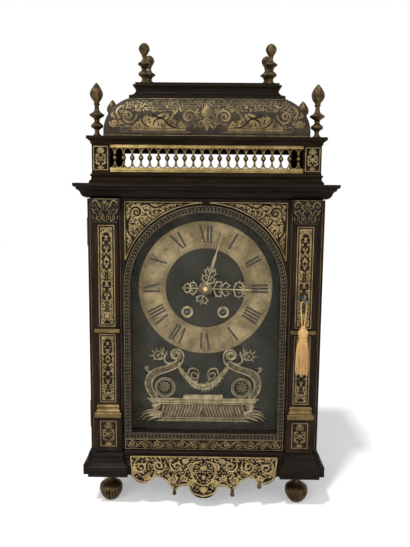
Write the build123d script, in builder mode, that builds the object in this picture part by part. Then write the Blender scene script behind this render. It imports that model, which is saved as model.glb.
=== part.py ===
"""Religieuse clock: ebonised case with a balustrade gallery and a dome, arched glazed
door, brass dial work and a spring-driven movement that strikes on a bell.

Millimetres. +Z is up, the dial faces -Y, and the origin is on the floor under the
middle of the case.
"""

from math import cos, pi, radians, sin, sqrt, tan
import os

from build123d import *

# Heights of the case, from the floor up
FOOT_H = 44.5
PLINTH_H = 30.0
CARCASS_H = 328.5
CORNICE_H = 17.5
GALLERY_BASE_H = 14.5
GALLERY_H = 33.5
GALLERY_CORNICE_H = 10.0
DOME_H = 49.0
PLATEAU_H = 20.5
TOP_FINIAL_H = 50.0
CORNER_FINIAL_H = 65.0

# Plan of the case
CASE_W = 296.0
CASE_D = 137.0
BOARD_T = 10.0
PANEL_T = 8.0
CORNICE_REACH = 14.5
PLINTH_REACH = 9.0
BLOCK_REACH = 7.0
BLOCK_W = 51.0
GALLERY_INSET = 5.7
POST_W = 22.0
DOME_INSET_X = 20.0
DOME_INSET_Y = 8.0
DOME_SLOPE_X = 31.0
DOME_SLOPE_Y = 14.5
DOME_BOW = 9.0
PLATEAU_INSET_X = 7.0
PLATEAU_INSET_Y = 7.5

# Feet, finials, balusters and apron
FOOT_R = 15.5
FOOT_INSET_X = 23.0
FOOT_INSET = 14.0
CORNER_FINIAL_INSET = 11.5
TOP_FINIAL_INSET = 9.5
BALUSTER_COUNT = 22
BALUSTER_END_GAP = 0.4
BALUSTER_T = 2.2
BALUSTER_STEM = 0.8
BOSS_R = 2.9
LOW_RAIL_H = 5.5
TOP_RAIL_H = 3.7
RAIL_D = 6.0
APRON_T = 2.0
APRON_DROP = 58.0

# Front door and what it carries
DOOR_T = 16.0
DOOR_GAP = 1.0
DOOR_BACK_GAP = 0.3
ARCH_MARGIN = 29.5
ARCH_HEAD = 7.5
ARCH_FOOT = 24.5
BEZEL_W = 9.0
BEZEL_PROUD = 3.0
BEZEL_LIP = 4.0
GLASS_T = 2.0
GLASS_EDGE = 3.7
FIT_GAP = 0.3
VENEER_T = 0.6
VENEER_MARGIN = 3.75
PILASTER_INSET = 24.0
PILASTER_W = 30.0
PILASTER_T = 4.0
PEDESTAL_W = 34.5
PEDESTAL_T = 6.0
PEDESTAL_H = 46.5
BASE_MOULD_H = 16.0
CAPITAL_W = 27.6
CAPITAL_H = 30.5
BAND_H = 4.7
BAND_DROP = 47.5
BAND_T = 3.0

# Lock, key and tassel
KEY_INSET = 26.5
KEY_DROP = 10.0
KEY_R = 2.0
BOW_R = 6.0
BOW_WIRE_R = 1.4
BOW_REACH = 21.0
LOCK_T = 11.0
LOCK_W = 32.0
LOCK_H = 36.0
BOLT_THROW = 5.0
BOLT_T = 5.0
BOLT_H = 8.0
BOLT_L = 8.8
CORD_R = 0.75
CORD_SPREAD = 3.2
TASSEL_HEAD_R = 6.0
TASSEL_HEAD_H = 16.0
TASSEL_SKIRT_H = 46.0
TASSEL_SKIRT_R = 8.3

# Hinges and back door
HINGE_PIN_R = 1.0
KNUCKLE_R = 2.0
LEAF_T = 0.9
LEAF_W = 9.0
HINGE_H = 36.0
HINGE_INSET = 42.0
BACK_DOOR_T = 8.0
BACK_DOOR_GAP = 0.6
BUTTON_L = 23.0
BUTTON_T = 2.5

# Dial and hands
DIAL_DROP = 3.0
DIAL_DEPTH = 20.0
DIAL_T = 2.0
DIAL_OVERLAP = 7.5
RING_MARGIN = 8.0
RING_BAND = 34.3
RING_T = 1.6
WIND_X = 23.5
WIND_DROP = 31.7
COLLAR_R = 7.6
COLLAR_BORE = 5.2
HAND_T = 1.2
MINUTE_SHORT = 7.5
MINUTE_TAIL = 21.0
HOUR_SHORT = 25.0
HOUR_TAIL = 27.5
MINUTE_ANGLE = 16.5
HOUR_ANGLE = 90.0 + MINUTE_ANGLE / 12
MINUTE_DEPTH = 10.0
HOUR_DEPTH = 13.2
MOUNT_T = 2.4
MOUNT_GRID_W = 204.0
MOUNT_GRID_H = 102.5

# Movement
PLATE_W = 104.0
PLATE_T = 2.5
PLATE_RISE = 68.0
FRONT_PLATE_DEPTH = 36.0
PLATE_SPACE = 39.5
SEAT_DROP = 78.0
SEAT_T = 8.0
PILLAR_R = 4.0
PIVOT_R = 0.8
ARBOR_R = 1.2
CENTRE_R = 2.6
WINDER_R = 3.0
RUN = 0.05
WHEEL_T = 2.0
DRUM_R = 20.0
DRUM_L = 22.0
GREAT_TEETH = 64
PINION_LEAVES = 8
CENTRE_TEETH = 72
THIRD_TEETH = 66
SMALL_LEAVES = 6
ESCAPE_TEETH = 30
ESCAPE_R = 10.5
CANNON_TEETH = 12
MINUTE_TEETH = 36
HOUR_TEETH = 48
MOTION_CENTRES = 19.2
THIRD_X = -14.0
THIRD_CENTRES = 26.65
ESCAPE_CENTRES = 24.0
ANCHOR_RISE = 15.0
STRIKE_PINS = 8
STRIKE_PIN_R = 0.7
STRIKE_PIN_L = 4.0
BELL_R = 28.0
BELL_H = 18.0
BELL_T = 1.6
BELL_RISE = 7.0
PENDULUM_L = 185.0
BOB_R = 19.0
BOB_T = 8.0
PENDULUM_DEPTH = 94.0

# Levels and planes worked out from the sizes above
PLINTH_TOP = FOOT_H + PLINTH_H
CORNICE_Z = PLINTH_TOP + CARCASS_H
CORNICE_TOP = CORNICE_Z + CORNICE_H
GALLERY_Z = CORNICE_TOP + GALLERY_BASE_H
GALLERY_TOP = GALLERY_Z + GALLERY_H
DOME_Z = GALLERY_TOP + GALLERY_CORNICE_H
PLATEAU_Z = DOME_Z + DOME_H
PLATEAU_TOP = PLATEAU_Z + PLATEAU_H
HALF_W = CASE_W / 2
INSIDE_X = HALF_W - BOARD_T
FRONT = -CASE_D / 2
BACK = CASE_D / 2
CARCASS_FRONT = FRONT + DOOR_T + DOOR_BACK_GAP
DOOR_Z = PLINTH_TOP + DOOR_GAP
DOOR_TOP = CORNICE_Z - DOOR_GAP
DOME_W = CASE_W - 2 * DOME_INSET_X
DOME_D = CASE_D - 2 * DOME_INSET_Y
DOME_TOP_W = DOME_W - 2 * DOME_SLOPE_X
DOME_TOP_D = DOME_D - 2 * DOME_SLOPE_Y
PLATEAU_W = DOME_TOP_W - 2 * PLATEAU_INSET_X
PLATEAU_D = DOME_TOP_D - 2 * PLATEAU_INSET_Y
TOP_FINIAL_X = PLATEAU_W / 2 - TOP_FINIAL_INSET
TOP_FINIAL_Y = PLATEAU_D / 2 - TOP_FINIAL_INSET
FOOT_X = HALF_W - FOOT_INSET_X
PILASTER_X = HALF_W - PILASTER_INSET
VENEER_W = 2 * (PILASTER_X - PEDESTAL_W / 2 - VENEER_MARGIN)
ARCH_R = PILASTER_X - ARCH_MARGIN
ARCH_Z = DOOR_TOP - ARCH_R - BEZEL_W - ARCH_HEAD
ARCH_DROP = ARCH_Z - DOOR_Z - ARCH_FOOT
KEY_X = HALF_W - KEY_INSET
KEY_Z = ARCH_Z - KEY_DROP
BAND_Z = KEY_Z - BAND_DROP
DIAL_W = 2 * (ARCH_R + DIAL_OVERLAP)
RING_R = ARCH_R - RING_MARGIN
RING_IN_R = RING_R - RING_BAND
MINUTE_L = RING_R - MINUTE_SHORT
HOUR_L = RING_R - HOUR_SHORT
DIAL_Z = ARCH_Z - DIAL_DROP
SEAT_Z = DIAL_Z - SEAT_DROP
PLATE_TOP = DIAL_Z + PLATE_RISE
BELL_Z = PLATE_TOP + BELL_RISE
DIAL_FRONT = FRONT + DIAL_DEPTH
DIAL_BACK = DIAL_FRONT + DIAL_T
PLATE_Z = SEAT_Z + SEAT_T
FRONT_PLATE_Y = FRONT + FRONT_PLATE_DEPTH
FRONT_PLATE_BACK = FRONT_PLATE_Y + PLATE_T
BACK_PLATE_Y = FRONT_PLATE_BACK + PLATE_SPACE
BACK_PLATE_BACK = BACK_PLATE_Y + PLATE_T
WIND_Z = DIAL_Z - WIND_DROP
THIRD_Z = DIAL_Z + sqrt(THIRD_CENTRES**2 - THIRD_X**2)
ESCAPE_Z = THIRD_Z + sqrt(ESCAPE_CENTRES**2 - THIRD_X**2)
ANCHOR_Z = ESCAPE_Z + ANCHOR_RISE

os.makedirs("parts", exist_ok=True)


def upright(y):
    """The upright plane at depth y, seen from the front: local x is X and local y is Z."""
    return Plane.XZ.offset(-y)


def draw_edge(edge, place):
    """Draw an edge from point to point; a third number bows the stretch outwards."""
    for (p0, z0, *_), (p1, z1, *bow) in zip(edge, edge[1:]):
        if not bow:
            Line(place(p0, z0), place(p1, z1))
            continue
        length = sqrt((p1 - p0) ** 2 + (z1 - z0) ** 2)
        mid_p = (p0 + p1) / 2 + bow[0] * (z1 - z0) / length
        mid_z = (z0 + z1) / 2 - bow[0] * (p1 - p0) / length
        ThreePointArc(place(p0, z0), place(mid_p, mid_z), place(p1, z1))


def moulded(x_low, x_high, y_front, y_back, edge, front_share=1.0, back_share=0.0):
    """A slab whose moulded edge runs mitred round the front and both ends.

    The edge is (reach, z) from the bottom up. The shares scale its reach at the front
    and at the back, where 0 leaves a flat face.
    """
    reach = max(point[0] for point in edge) + 1.0
    (p_low, z_low), (p_high, z_high) = edge[0][:2], edge[-1][:2]
    with BuildPart() as slab:
        with BuildSketch(upright(y_back + reach)):
            with BuildLine():
                draw_edge(edge, lambda p, z: (x_high + p, z))
                draw_edge(edge, lambda p, z: (x_low - p, z))
                Line((x_low - p_low, z_low), (x_high + p_low, z_low))
                Line((x_low - p_high, z_high), (x_high + p_high, z_high))
            make_face()
        extrude(amount=y_back - y_front + 2 * reach)
        with BuildSketch(Plane.YZ.offset(x_low - reach)):
            with BuildLine():
                draw_edge(edge, lambda p, z: (y_front - front_share * p, z))
                if back_share:
                    draw_edge(edge, lambda p, z: (y_back + back_share * p, z))
                else:
                    Line((y_back, z_low), (y_back, z_high))
                Line((y_front - front_share * p_low, z_low), (y_back + back_share * p_low, z_low))
                Line((y_front - front_share * p_high, z_high), (y_back + back_share * p_high, z_high))
            make_face()
        extrude(amount=x_high - x_low + 2 * reach, mode=Mode.INTERSECT)
    return slab.part


def block(x_low, x_high, y_low, y_high, z_low, z_high, mode=Mode.ADD):
    """A square block between two corners."""
    with BuildSketch(Plane.XY.offset(z_low)) as base:
        with Locations(((x_low + x_high) / 2, (y_low + y_high) / 2)):
            Rectangle(x_high - x_low, y_high - y_low)
    extrude(base.sketch, amount=z_high - z_low, mode=mode)


def turn(edge, x, y, z, mode=Mode.ADD):
    """Turn an edge of (radius, height) points about the upright line through x, y."""
    low, high = edge[0][1], edge[-1][1]
    with BuildSketch(Plane(origin=(x, y, z), x_dir=(1, 0, 0), z_dir=(0, -1, 0))) as half:
        with BuildLine():
            draw_edge(edge, lambda r, h: (r, h))
            Polyline((edge[-1][0], high), (0, high), (0, low), (edge[0][0], low))
        make_face()
    revolve(half.sketch, axis=Axis((x, y, z), (0, 0, 1)), mode=mode)


def rod(x, z, y_low, y_high, radius, mode=Mode.ADD):
    """A round rod or hole along Y."""
    with BuildSketch(upright(y_high)) as end:
        with Locations((x, z)):
            Circle(radius)
    extrude(end.sketch, amount=y_high - y_low, mode=mode)


def arch_face(radius, drop):
    """Face of the arched light: a half round of this radius over a square-cornered foot."""
    with BuildLine() as outline:
        ThreePointArc((-radius, ARCH_Z), (0, ARCH_Z + radius), (radius, ARCH_Z))
        Polyline((radius, ARCH_Z), (radius, ARCH_Z - drop), (-radius, ARCH_Z - drop), (-radius, ARCH_Z))
    make_face(outline.edges())


def arched(grow, y_low, y_high, mode=Mode.ADD):
    """The light of the door, grown by this much all round, between two depths."""
    with BuildSketch(upright(y_high)) as light:
        arch_face(ARCH_R + grow, ARCH_DROP + grow)
    extrude(light.sketch, amount=y_high - y_low, mode=mode)


def save(piece, name):
    """Label a finished piece and write it out."""
    piece.part.label = name
    export_step(piece.part, f"parts/{name}.step")


# Feet: turned brass turnips, one under each corner
foot_edge = [(6.5, 0), (8, 1.2), (FOOT_R, 16.5, 1.3), (FOOT_R - 0.8, 18.5), (5, 27, 1.8), (3.6, 29.5),
             (3.6, 35), (6.5, 37), (6.5, 39), (11, 41), (11, FOOT_H)]
foot_y = CASE_D / 2 - FOOT_INSET
with BuildPart() as feet:
    for x in (-FOOT_X, FOOT_X):
        for y in (-foot_y, foot_y):
            turn(foot_edge, x, y, 0)
save(feet, "feet")

# Plinth: a stepped moulding that breaks forward under the pilasters
plinth_edge = [(PLINTH_REACH, FOOT_H), (PLINTH_REACH, FOOT_H + 13), (PLINTH_REACH - 1.5, FOOT_H + 14.5),
               (PLINTH_REACH - 4.5, FOOT_H + 20, -1.2), (PLINTH_REACH - 6, FOOT_H + 22.5),
               (PLINTH_REACH - 6, FOOT_H + 25), (0, PLINTH_TOP, 1)]
plinth_blocks = [
    moulded(side * PILASTER_X - BLOCK_W / 2 + PLINTH_REACH, side * PILASTER_X + BLOCK_W / 2 - PLINTH_REACH,
            FRONT - BLOCK_REACH, FRONT + BOARD_T, plinth_edge)
    for side in (-1, 1)]
plinth_slab = moulded(-HALF_W, HALF_W, FRONT, BACK, plinth_edge)
with BuildPart() as plinth:
    add(plinth_slab)
    for piece in plinth_blocks:
        add(piece)
save(plinth, "plinth")

# Carcass: two sides, floor and top board, with a pocket for the bolt and the hinge leaves
bolt_z = KEY_Z
pocket_y = FRONT + DOOR_T + 3.0
hinge_levels = (DOOR_Z + HINGE_INSET, DOOR_TOP - HINGE_INSET)
with BuildPart() as case_sides:
    for side in (-1, 1):
        outer, inner = side * HALF_W, side * INSIDE_X
        block(min(outer, inner), max(outer, inner), CARCASS_FRONT, BACK, PLINTH_TOP, CORNICE_Z)
    block(INSIDE_X, INSIDE_X + BOLT_THROW + 1.0, pocket_y - FIT_GAP, pocket_y + BOLT_T + FIT_GAP,
          bolt_z - BOLT_H / 2 - FIT_GAP, bolt_z + BOLT_H / 2 + FIT_GAP, Mode.SUBTRACT)
    for level in hinge_levels:
        block(-HALF_W, -HALF_W + LEAF_W, CARCASS_FRONT, CARCASS_FRONT + LEAF_T,
              level - HINGE_H / 2, level + HINGE_H / 2, Mode.SUBTRACT)
save(case_sides, "case_sides")

floor_top = PLINTH_TOP + PANEL_T
with BuildPart() as case_floor:
    block(-INSIDE_X, INSIDE_X, CARCASS_FRONT, BACK, PLINTH_TOP, floor_top)
save(case_floor, "case_floor")

top_under = CORNICE_Z - PANEL_T
with BuildPart() as top_board:
    block(-INSIDE_X, INSIDE_X, CARCASS_FRONT, BACK, top_under, CORNICE_Z)
save(top_board, "top_board")

# Main cornice
cornice_edge = [(0.8, CORNICE_Z), (CORNICE_REACH - 8, CORNICE_Z + 4.8, 1),
                (CORNICE_REACH - 3.4, CORNICE_Z + 10, -1), (CORNICE_REACH - 3.4, CORNICE_Z + 12),
                (CORNICE_REACH - 1, CORNICE_Z + 13.2),
                (CORNICE_REACH, CORNICE_Z + 14), (CORNICE_REACH, CORNICE_TOP)]
main_cornice_slab = moulded(-HALF_W, HALF_W, FRONT, BACK, cornice_edge)
with BuildPart() as main_cornice:
    add(main_cornice_slab)
save(main_cornice, "main_cornice")

# Gallery: base moulding, corner posts with side panels, upper cornice
gallery_x = HALF_W - GALLERY_INSET
gallery_front = FRONT + GALLERY_INSET
gallery_back = BACK - GALLERY_INSET
gallery_base_edge = [(3.5, CORNICE_TOP), (3.5, CORNICE_TOP + 3), (1.2, CORNICE_TOP + 9, -1.2),
                     (2, CORNICE_TOP + 11, 0.6), (0.4, CORNICE_TOP + 12.5), (0.4, GALLERY_Z)]
gallery_base_slab = moulded(-gallery_x, gallery_x, gallery_front, gallery_back, gallery_base_edge, 1, 1)
with BuildPart() as gallery_base:
    add(gallery_base_slab)
save(gallery_base, "gallery_base")

with BuildPart() as gallery_frame:
    for side in (-1, 1):
        outer, inner = side * gallery_x, side * (gallery_x - POST_W)
        low, high = min(outer, inner), max(outer, inner)
        block(low, high, gallery_front, gallery_front + POST_W, GALLERY_Z, GALLERY_TOP)
        block(low, high, gallery_back - POST_W, gallery_back, GALLERY_Z, GALLERY_TOP)
        panel = side * (gallery_x - BOARD_T)
        block(min(outer, panel), max(outer, panel), gallery_front + POST_W, gallery_back - POST_W,
              GALLERY_Z, GALLERY_TOP)
save(gallery_frame, "gallery_frame")

gallery_cornice_edge = [(0.4, GALLERY_TOP), (1.5, GALLERY_TOP + 1.5), (3.2, GALLERY_TOP + 4.5, -0.8),
                        (4.6, GALLERY_TOP + 6), (5.6, GALLERY_TOP + 8, 0.7), (5.6, DOME_Z)]
gallery_cornice_slab = moulded(-gallery_x, gallery_x, gallery_front, gallery_back, gallery_cornice_edge, 1, 1)
with BuildPart() as gallery_cornice:
    add(gallery_cornice_slab)
save(gallery_cornice, "gallery_cornice")

# Balustrade across the front of the gallery
rail_x = gallery_x - POST_W
rail_y = gallery_front + 2.0 + RAIL_D / 2
with BuildPart() as gallery_rails:
    block(-rail_x, rail_x, rail_y - RAIL_D / 2, rail_y + RAIL_D / 2, GALLERY_Z, GALLERY_Z + LOW_RAIL_H)
    block(-rail_x, rail_x, rail_y - RAIL_D / 2, rail_y + RAIL_D / 2, GALLERY_TOP - TOP_RAIL_H, GALLERY_TOP)
save(gallery_rails, "gallery_rails")

baluster_h = GALLERY_H - LOW_RAIL_H - TOP_RAIL_H
baluster_pitch = 2 * (rail_x - BALUSTER_END_GAP) / BALUSTER_COUNT
bay_half = baluster_pitch / 2
baluster_back = rail_y + BALUSTER_T / 2
boss_z = GALLERY_Z + LOW_RAIL_H + baluster_h / 2
boss_proud = 0.8
with BuildPart() as balusters:
    with BuildSketch(upright(baluster_back)):
        for number in range(BALUSTER_COUNT):
            x = (number - (BALUSTER_COUNT - 1) / 2) * baluster_pitch
            with Locations((x, boss_z)):
                Rectangle(baluster_pitch - 0.2, baluster_h)
        for number in range(BALUSTER_COUNT + 1):
            x = (number - BALUSTER_COUNT / 2) * baluster_pitch
            with Locations((x, boss_z - baluster_h * 0.24), (x, boss_z + baluster_h * 0.24)):
                Ellipse(bay_half - BALUSTER_STEM, baluster_h * 0.25, mode=Mode.SUBTRACT)
            with Locations((x, boss_z)):
                Rectangle(BALUSTER_STEM * 3, baluster_h * 0.3, mode=Mode.SUBTRACT)
    extrude(amount=BALUSTER_T)
    for number in range(BALUSTER_COUNT):
        x = (number - (BALUSTER_COUNT - 1) / 2) * baluster_pitch
        rod(x, boss_z, baluster_back - BALUSTER_T - boss_proud, baluster_back + boss_proud, BOSS_R)
save(balusters, "balusters")

# Dome: bowed on all four sides, and the moulded plateau on it
dome_reach = (DOME_W - DOME_TOP_W) / 2
dome_share = (DOME_D - DOME_TOP_D) / (DOME_W - DOME_TOP_W)
dome_edge = [(dome_reach, DOME_Z), (dome_reach, DOME_Z + 3), (0, PLATEAU_Z, DOME_BOW)]
dome_slab = moulded(-DOME_TOP_W / 2, DOME_TOP_W / 2, -DOME_TOP_D / 2, DOME_TOP_D / 2, dome_edge,
                    dome_share, dome_share)
with BuildPart() as dome:
    add(dome_slab)
save(dome, "dome")

plateau_edge = [(8, PLATEAU_Z), (8, PLATEAU_Z + 3), (6.5, PLATEAU_Z + 4), (0.5, PLATEAU_Z + 9, -1),
                (1.5, PLATEAU_Z + 14, -0.8), (3.2, PLATEAU_Z + 15.5), (3.2, PLATEAU_Z + 17.5, 0.7),
                (1, PLATEAU_Z + 18.2), (1, PLATEAU_TOP)]
plateau_slab = moulded(-PLATEAU_W / 2, PLATEAU_W / 2, -PLATEAU_D / 2, PLATEAU_D / 2, plateau_edge, 1, 1)
with BuildPart() as plateau:
    add(plateau_slab)
save(plateau, "plateau")

# Finials: flames on the gallery's corners and eggs on the plateau's
flame_edge = [(5.5, 0), (5.5, 1.5), (3, 5), (3, 8), (7.3, 11.5, 0.6), (7.3, 14.5), (3.1, 18.5, 0.6),
              (3.3, 21), (9.2, 25.5, -0.8), (9.2, 26.8), (3, 33, -1.2), (2.7, 38), (4, 42.5), (7.1, 51, 0.9),
              (0.5, CORNER_FINIAL_H, 1.2)]
corner_y = CASE_D / 2 - CORNER_FINIAL_INSET - 1.3
with BuildPart() as corner_finials:
    for x in (-HALF_W + CORNER_FINIAL_INSET, HALF_W - CORNER_FINIAL_INSET):
        for y in (-corner_y, corner_y):
            turn(flame_edge, x, y, DOME_Z)
save(corner_finials, "corner_finials")

egg_edge = [(5.6, 0), (5.6, 1.5), (3.4, 4.5), (3.4, 7), (7.4, 10.5, 0.6), (7.4, 13), (3.2, 17, 0.6),
            (3.4, 19), (8.2, 23.5, -0.7), (8.2, 24.8), (2.8, 30, -0.8), (2.4, 33.5), (5.8, 41.5, 1),
            (0.5, TOP_FINIAL_H, 2.2)]
with BuildPart() as top_finials:
    for x in (-TOP_FINIAL_X, TOP_FINIAL_X):
        for y in (-TOP_FINIAL_Y, TOP_FINIAL_Y):
            turn(egg_edge, x, y, PLATEAU_TOP)
save(top_finials, "top_finials")

# Apron: a scrolled plate that hangs in front of the plinth between its blocks
apron_y = FRONT - PLINTH_REACH
apron_top = PLINTH_TOP - 2.0
apron_half = PILASTER_X - BLOCK_W / 2 - 1.5
apron_arcs = [((0.907, 0.6), (0.753, 0.655)), ((0.639, 0.5), (0.505, 0.586)), ((0.438, 0.69), (0.388, 0.845)),
              ((0.294, 0.716), (0.191, 0.724)), ((0.136, 0.914), (0, 1))]


def apron_point(share):
    """A point of the apron from its shares of the half width and of the drop."""
    return share[0] * apron_half, apron_top - share[1] * APRON_DROP


with BuildPart() as apron:
    with BuildSketch(upright(apron_y)):
        with BuildLine():
            last = apron_point((0.969, 0.466))
            Polyline((0, apron_top), (apron_half, apron_top), last)
            for middle, end in apron_arcs:
                ThreePointArc(last, apron_point(middle), apron_point(end))
                last = apron_point(end)
            mirror(about=Plane.YZ)
        make_face()
    extrude(amount=APRON_T)
save(apron, "apron")

# Door frame: arched opening with a rebate for the glass, bored for the key
pane_grow = GLASS_EDGE + FIT_GAP
glass_front = FRONT + BEZEL_LIP
glass_back = glass_front + GLASS_T
with BuildPart() as door_frame:
    block(-HALF_W + FIT_GAP, HALF_W - FIT_GAP, FRONT, FRONT + DOOR_T, DOOR_Z, DOOR_TOP)
    arched(pane_grow, FRONT, glass_back, Mode.SUBTRACT)
    arched(pane_grow - 1.5, glass_back, FRONT + DOOR_T, Mode.SUBTRACT)
    rod(KEY_X, KEY_Z, FRONT, FRONT + DOOR_T, KEY_R + FIT_GAP, Mode.SUBTRACT)
    for level in hinge_levels:
        block(-HALF_W, -HALF_W + LEAF_W, FRONT + DOOR_T - LEAF_T, FRONT + DOOR_T,
              level - HINGE_H / 2, level + HINGE_H / 2, Mode.SUBTRACT)
save(door_frame, "door_frame")

with BuildPart() as door_glass:
    arched(GLASS_EDGE, glass_front, glass_back)
save(door_glass, "door_glass")

with BuildPart() as bezel:
    arched(BEZEL_W, FRONT - BEZEL_PROUD, FRONT)
    arched(GLASS_EDGE, FRONT, glass_front)
    arched(0, FRONT - BEZEL_PROUD, glass_front, Mode.SUBTRACT)
save(bezel, "bezel")

# Brass veneers: two spandrels over the arch, and the frieze under the light
bezel_r = ARCH_R + BEZEL_W
frieze_top = ARCH_Z - ARCH_DROP - BEZEL_W - 1.0
spandrel_low = ARCH_Z + ARCH_R * 0.35
spandrel_high = DOOR_TOP - 2.0
spandrel_in = 4.0
spandrel_w = VENEER_W / 2 - spandrel_in
with BuildPart() as brass_veneers:
    for side in (-1, 1):
        with BuildSketch(upright(FRONT)):
            with Locations((side * (spandrel_in + spandrel_w / 2), (spandrel_low + spandrel_high) / 2)):
                Rectangle(spandrel_w, spandrel_high - spandrel_low)
            with Locations((0, ARCH_Z)):
                Circle(bezel_r + 0.3, mode=Mode.SUBTRACT)
        extrude(amount=VENEER_T)
    block(-VENEER_W / 2, VENEER_W / 2, FRONT - VENEER_T, FRONT, DOOR_Z + 1, frieze_top)
save(brass_veneers, "brass_veneers")

# Pilasters: ebonised shafts on pedestals, one each side of the light
pedestal_top = DOOR_Z + PEDESTAL_H
shaft_z = pedestal_top + BASE_MOULD_H
capital_z = DOOR_TOP - CAPITAL_H
with BuildPart() as pilasters:
    for x in (-PILASTER_X, PILASTER_X):
        block(x - PEDESTAL_W / 2, x + PEDESTAL_W / 2, FRONT - PEDESTAL_T, FRONT, DOOR_Z, pedestal_top)
        block(x - PILASTER_W / 2, x + PILASTER_W / 2, FRONT - PILASTER_T, FRONT, shaft_z, capital_z)
    rod(KEY_X, KEY_Z, FRONT - PEDESTAL_T, FRONT, KEY_R + FIT_GAP, Mode.SUBTRACT)
save(pilasters, "pilasters")

capital_edge = [(1.6, capital_z), (1.6, capital_z + 2.4), (0.2, capital_z + 3.6), (1.8, capital_z + 14, -0.8),
                (4.2, capital_z + 22, 0.6), (4.9, DOOR_TOP - 5), (4.9, DOOR_TOP)]
capital_blocks = [moulded(x - CAPITAL_W / 2, x + CAPITAL_W / 2, FRONT - PILASTER_T - 2, FRONT, capital_edge)
                  for x in (-PILASTER_X, PILASTER_X)]
with BuildPart() as capitals:
    for piece in capital_blocks:
        add(piece)
save(capitals, "capitals")

base_edge = [(3.9, pedestal_top), (3.9, pedestal_top + 4), (2.2, pedestal_top + 6.5, 1),
             (2.2, pedestal_top + 8), (0.6, pedestal_top + 12, -0.6), (1.2, pedestal_top + 14, 0.5),
             (0.2, shaft_z)]
base_half = CAPITAL_W / 2 - 0.6
base_blocks = [moulded(x - base_half, x + base_half, FRONT - PILASTER_T - 1, FRONT, base_edge)
               for x in (-PILASTER_X, PILASTER_X)]
band_y = FRONT - PILASTER_T
band_half = PILASTER_W / 2 + 0.8
with BuildPart() as pilaster_mounts:
    for piece in base_blocks:
        add(piece)
    for x in (-PILASTER_X, PILASTER_X):
        block(x - band_half, x + band_half, band_y - BAND_T, band_y, BAND_Z, BAND_Z + BAND_H)
save(pilaster_mounts, "pilaster_mounts")

# Hinges: a leaf and two outer knuckles with the pin stay, the middle knuckle turns
knuckle_gap = 0.2


def knuckle(x, y, z_low, z_high, radius, mode=Mode.ADD):
    """A round barrel along Z."""
    with BuildSketch(Plane.XY.offset(z_low)) as end:
        with Locations((x, y)):
            Circle(radius)
    extrude(end.sketch, amount=z_high - z_low, mode=mode)


def fixed_leaf(x, y, level, leaf):
    """The half of a hinge that stays on the carcass, with the pin."""
    third = HINGE_H / 3
    for z_low in (level - HINGE_H / 2, level + HINGE_H / 2 - third):
        knuckle(x, y, z_low, z_low + third, KNUCKLE_R)
        block(*leaf, z_low, z_low + third)
    knuckle(x, y, level - HINGE_H / 2, level + HINGE_H / 2, HINGE_PIN_R)


def moving_leaf(x, y, level, leaf):
    """The half of a hinge that turns with the door, bored for the pin."""
    third = HINGE_H / 6 - knuckle_gap
    knuckle(x, y, level - third, level + third, KNUCKLE_R)
    block(*leaf, level - third, level + third)
    knuckle(x, y, level - third, level + third, HINGE_PIN_R + RUN, Mode.SUBTRACT)


front_pin_x = -HALF_W - KNUCKLE_R - 0.2
front_pin_y = FRONT + DOOR_T + DOOR_BACK_GAP / 2
back_pin_x = -INSIDE_X
back_pin_y = BACK + KNUCKLE_R
leaf_start = front_pin_x + HINGE_PIN_R + 0.5
with BuildPart() as case_hinges:
    for level in hinge_levels:
        fixed_leaf(front_pin_x, front_pin_y, level,
                   (leaf_start, -HALF_W + LEAF_W, CARCASS_FRONT, CARCASS_FRONT + LEAF_T))
        fixed_leaf(back_pin_x, back_pin_y, level, (back_pin_x - LEAF_W, back_pin_x - HINGE_PIN_R - 0.4, BACK,
                                                   BACK + LEAF_T))
save(case_hinges, "case_hinges")

with BuildPart() as door_hinges:
    for level in hinge_levels:
        moving_leaf(front_pin_x, front_pin_y, level,
                    (leaf_start, -HALF_W + LEAF_W, FRONT + DOOR_T - LEAF_T, FRONT + DOOR_T))
save(door_hinges, "door_hinges")

with BuildPart() as back_hinges:
    for level in hinge_levels:
        moving_leaf(back_pin_x, back_pin_y, level, (back_pin_x + HINGE_PIN_R + 0.4, back_pin_x + LEAF_W, BACK,
                                                    BACK + LEAF_T))
save(back_hinges, "back_hinges")

# Back door: a plain panel between the sides, and the turn button that holds it
with BuildPart() as back_door:
    block(-INSIDE_X + BACK_DOOR_GAP, INSIDE_X - BACK_DOOR_GAP, BACK - BACK_DOOR_T, BACK,
          floor_top + BACK_DOOR_GAP, top_under - BACK_DOOR_GAP)
save(back_door, "back_door")

button_x = INSIDE_X + BOARD_T / 2
button_y = BACK + FIT_GAP
with BuildPart() as back_button:
    with BuildSketch(upright(button_y + BUTTON_T)):
        with Locations((button_x, KEY_Z)):
            SlotOverall(BUTTON_L, BOARD_T - 2, rotation=90)
    extrude(amount=BUTTON_T)
    rod(button_x, KEY_Z, BACK, button_y, 2.5)
save(back_button, "back_button")

# Lock on the back of the door, with its bolt drawn and the way for the key's bit
lock_y = FRONT + DOOR_T
lock_x = INSIDE_X - 1.5
bolt_x = lock_x + 0.8
bit_r = 6.0
with BuildPart() as lock_case:
    block(lock_x - LOCK_W, lock_x, lock_y, lock_y + LOCK_T, KEY_Z - LOCK_H / 2, KEY_Z + LOCK_H / 2)
    rod(KEY_X, KEY_Z, lock_y, lock_y + LOCK_T - 2, bit_r + 0.5, Mode.SUBTRACT)
    block(bolt_x - BOLT_L - FIT_GAP, lock_x + 1, pocket_y - FIT_GAP, pocket_y + BOLT_T + FIT_GAP,
          KEY_Z - BOLT_H / 2 - FIT_GAP, KEY_Z + BOLT_H / 2 + FIT_GAP, Mode.SUBTRACT)
save(lock_case, "lock_case")

with BuildPart() as lock_bolt:
    block(bolt_x - BOLT_L, bolt_x, pocket_y, pocket_y + BOLT_T, KEY_Z - BOLT_H / 2, KEY_Z + BOLT_H / 2)
save(lock_bolt, "lock_bolt")

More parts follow.
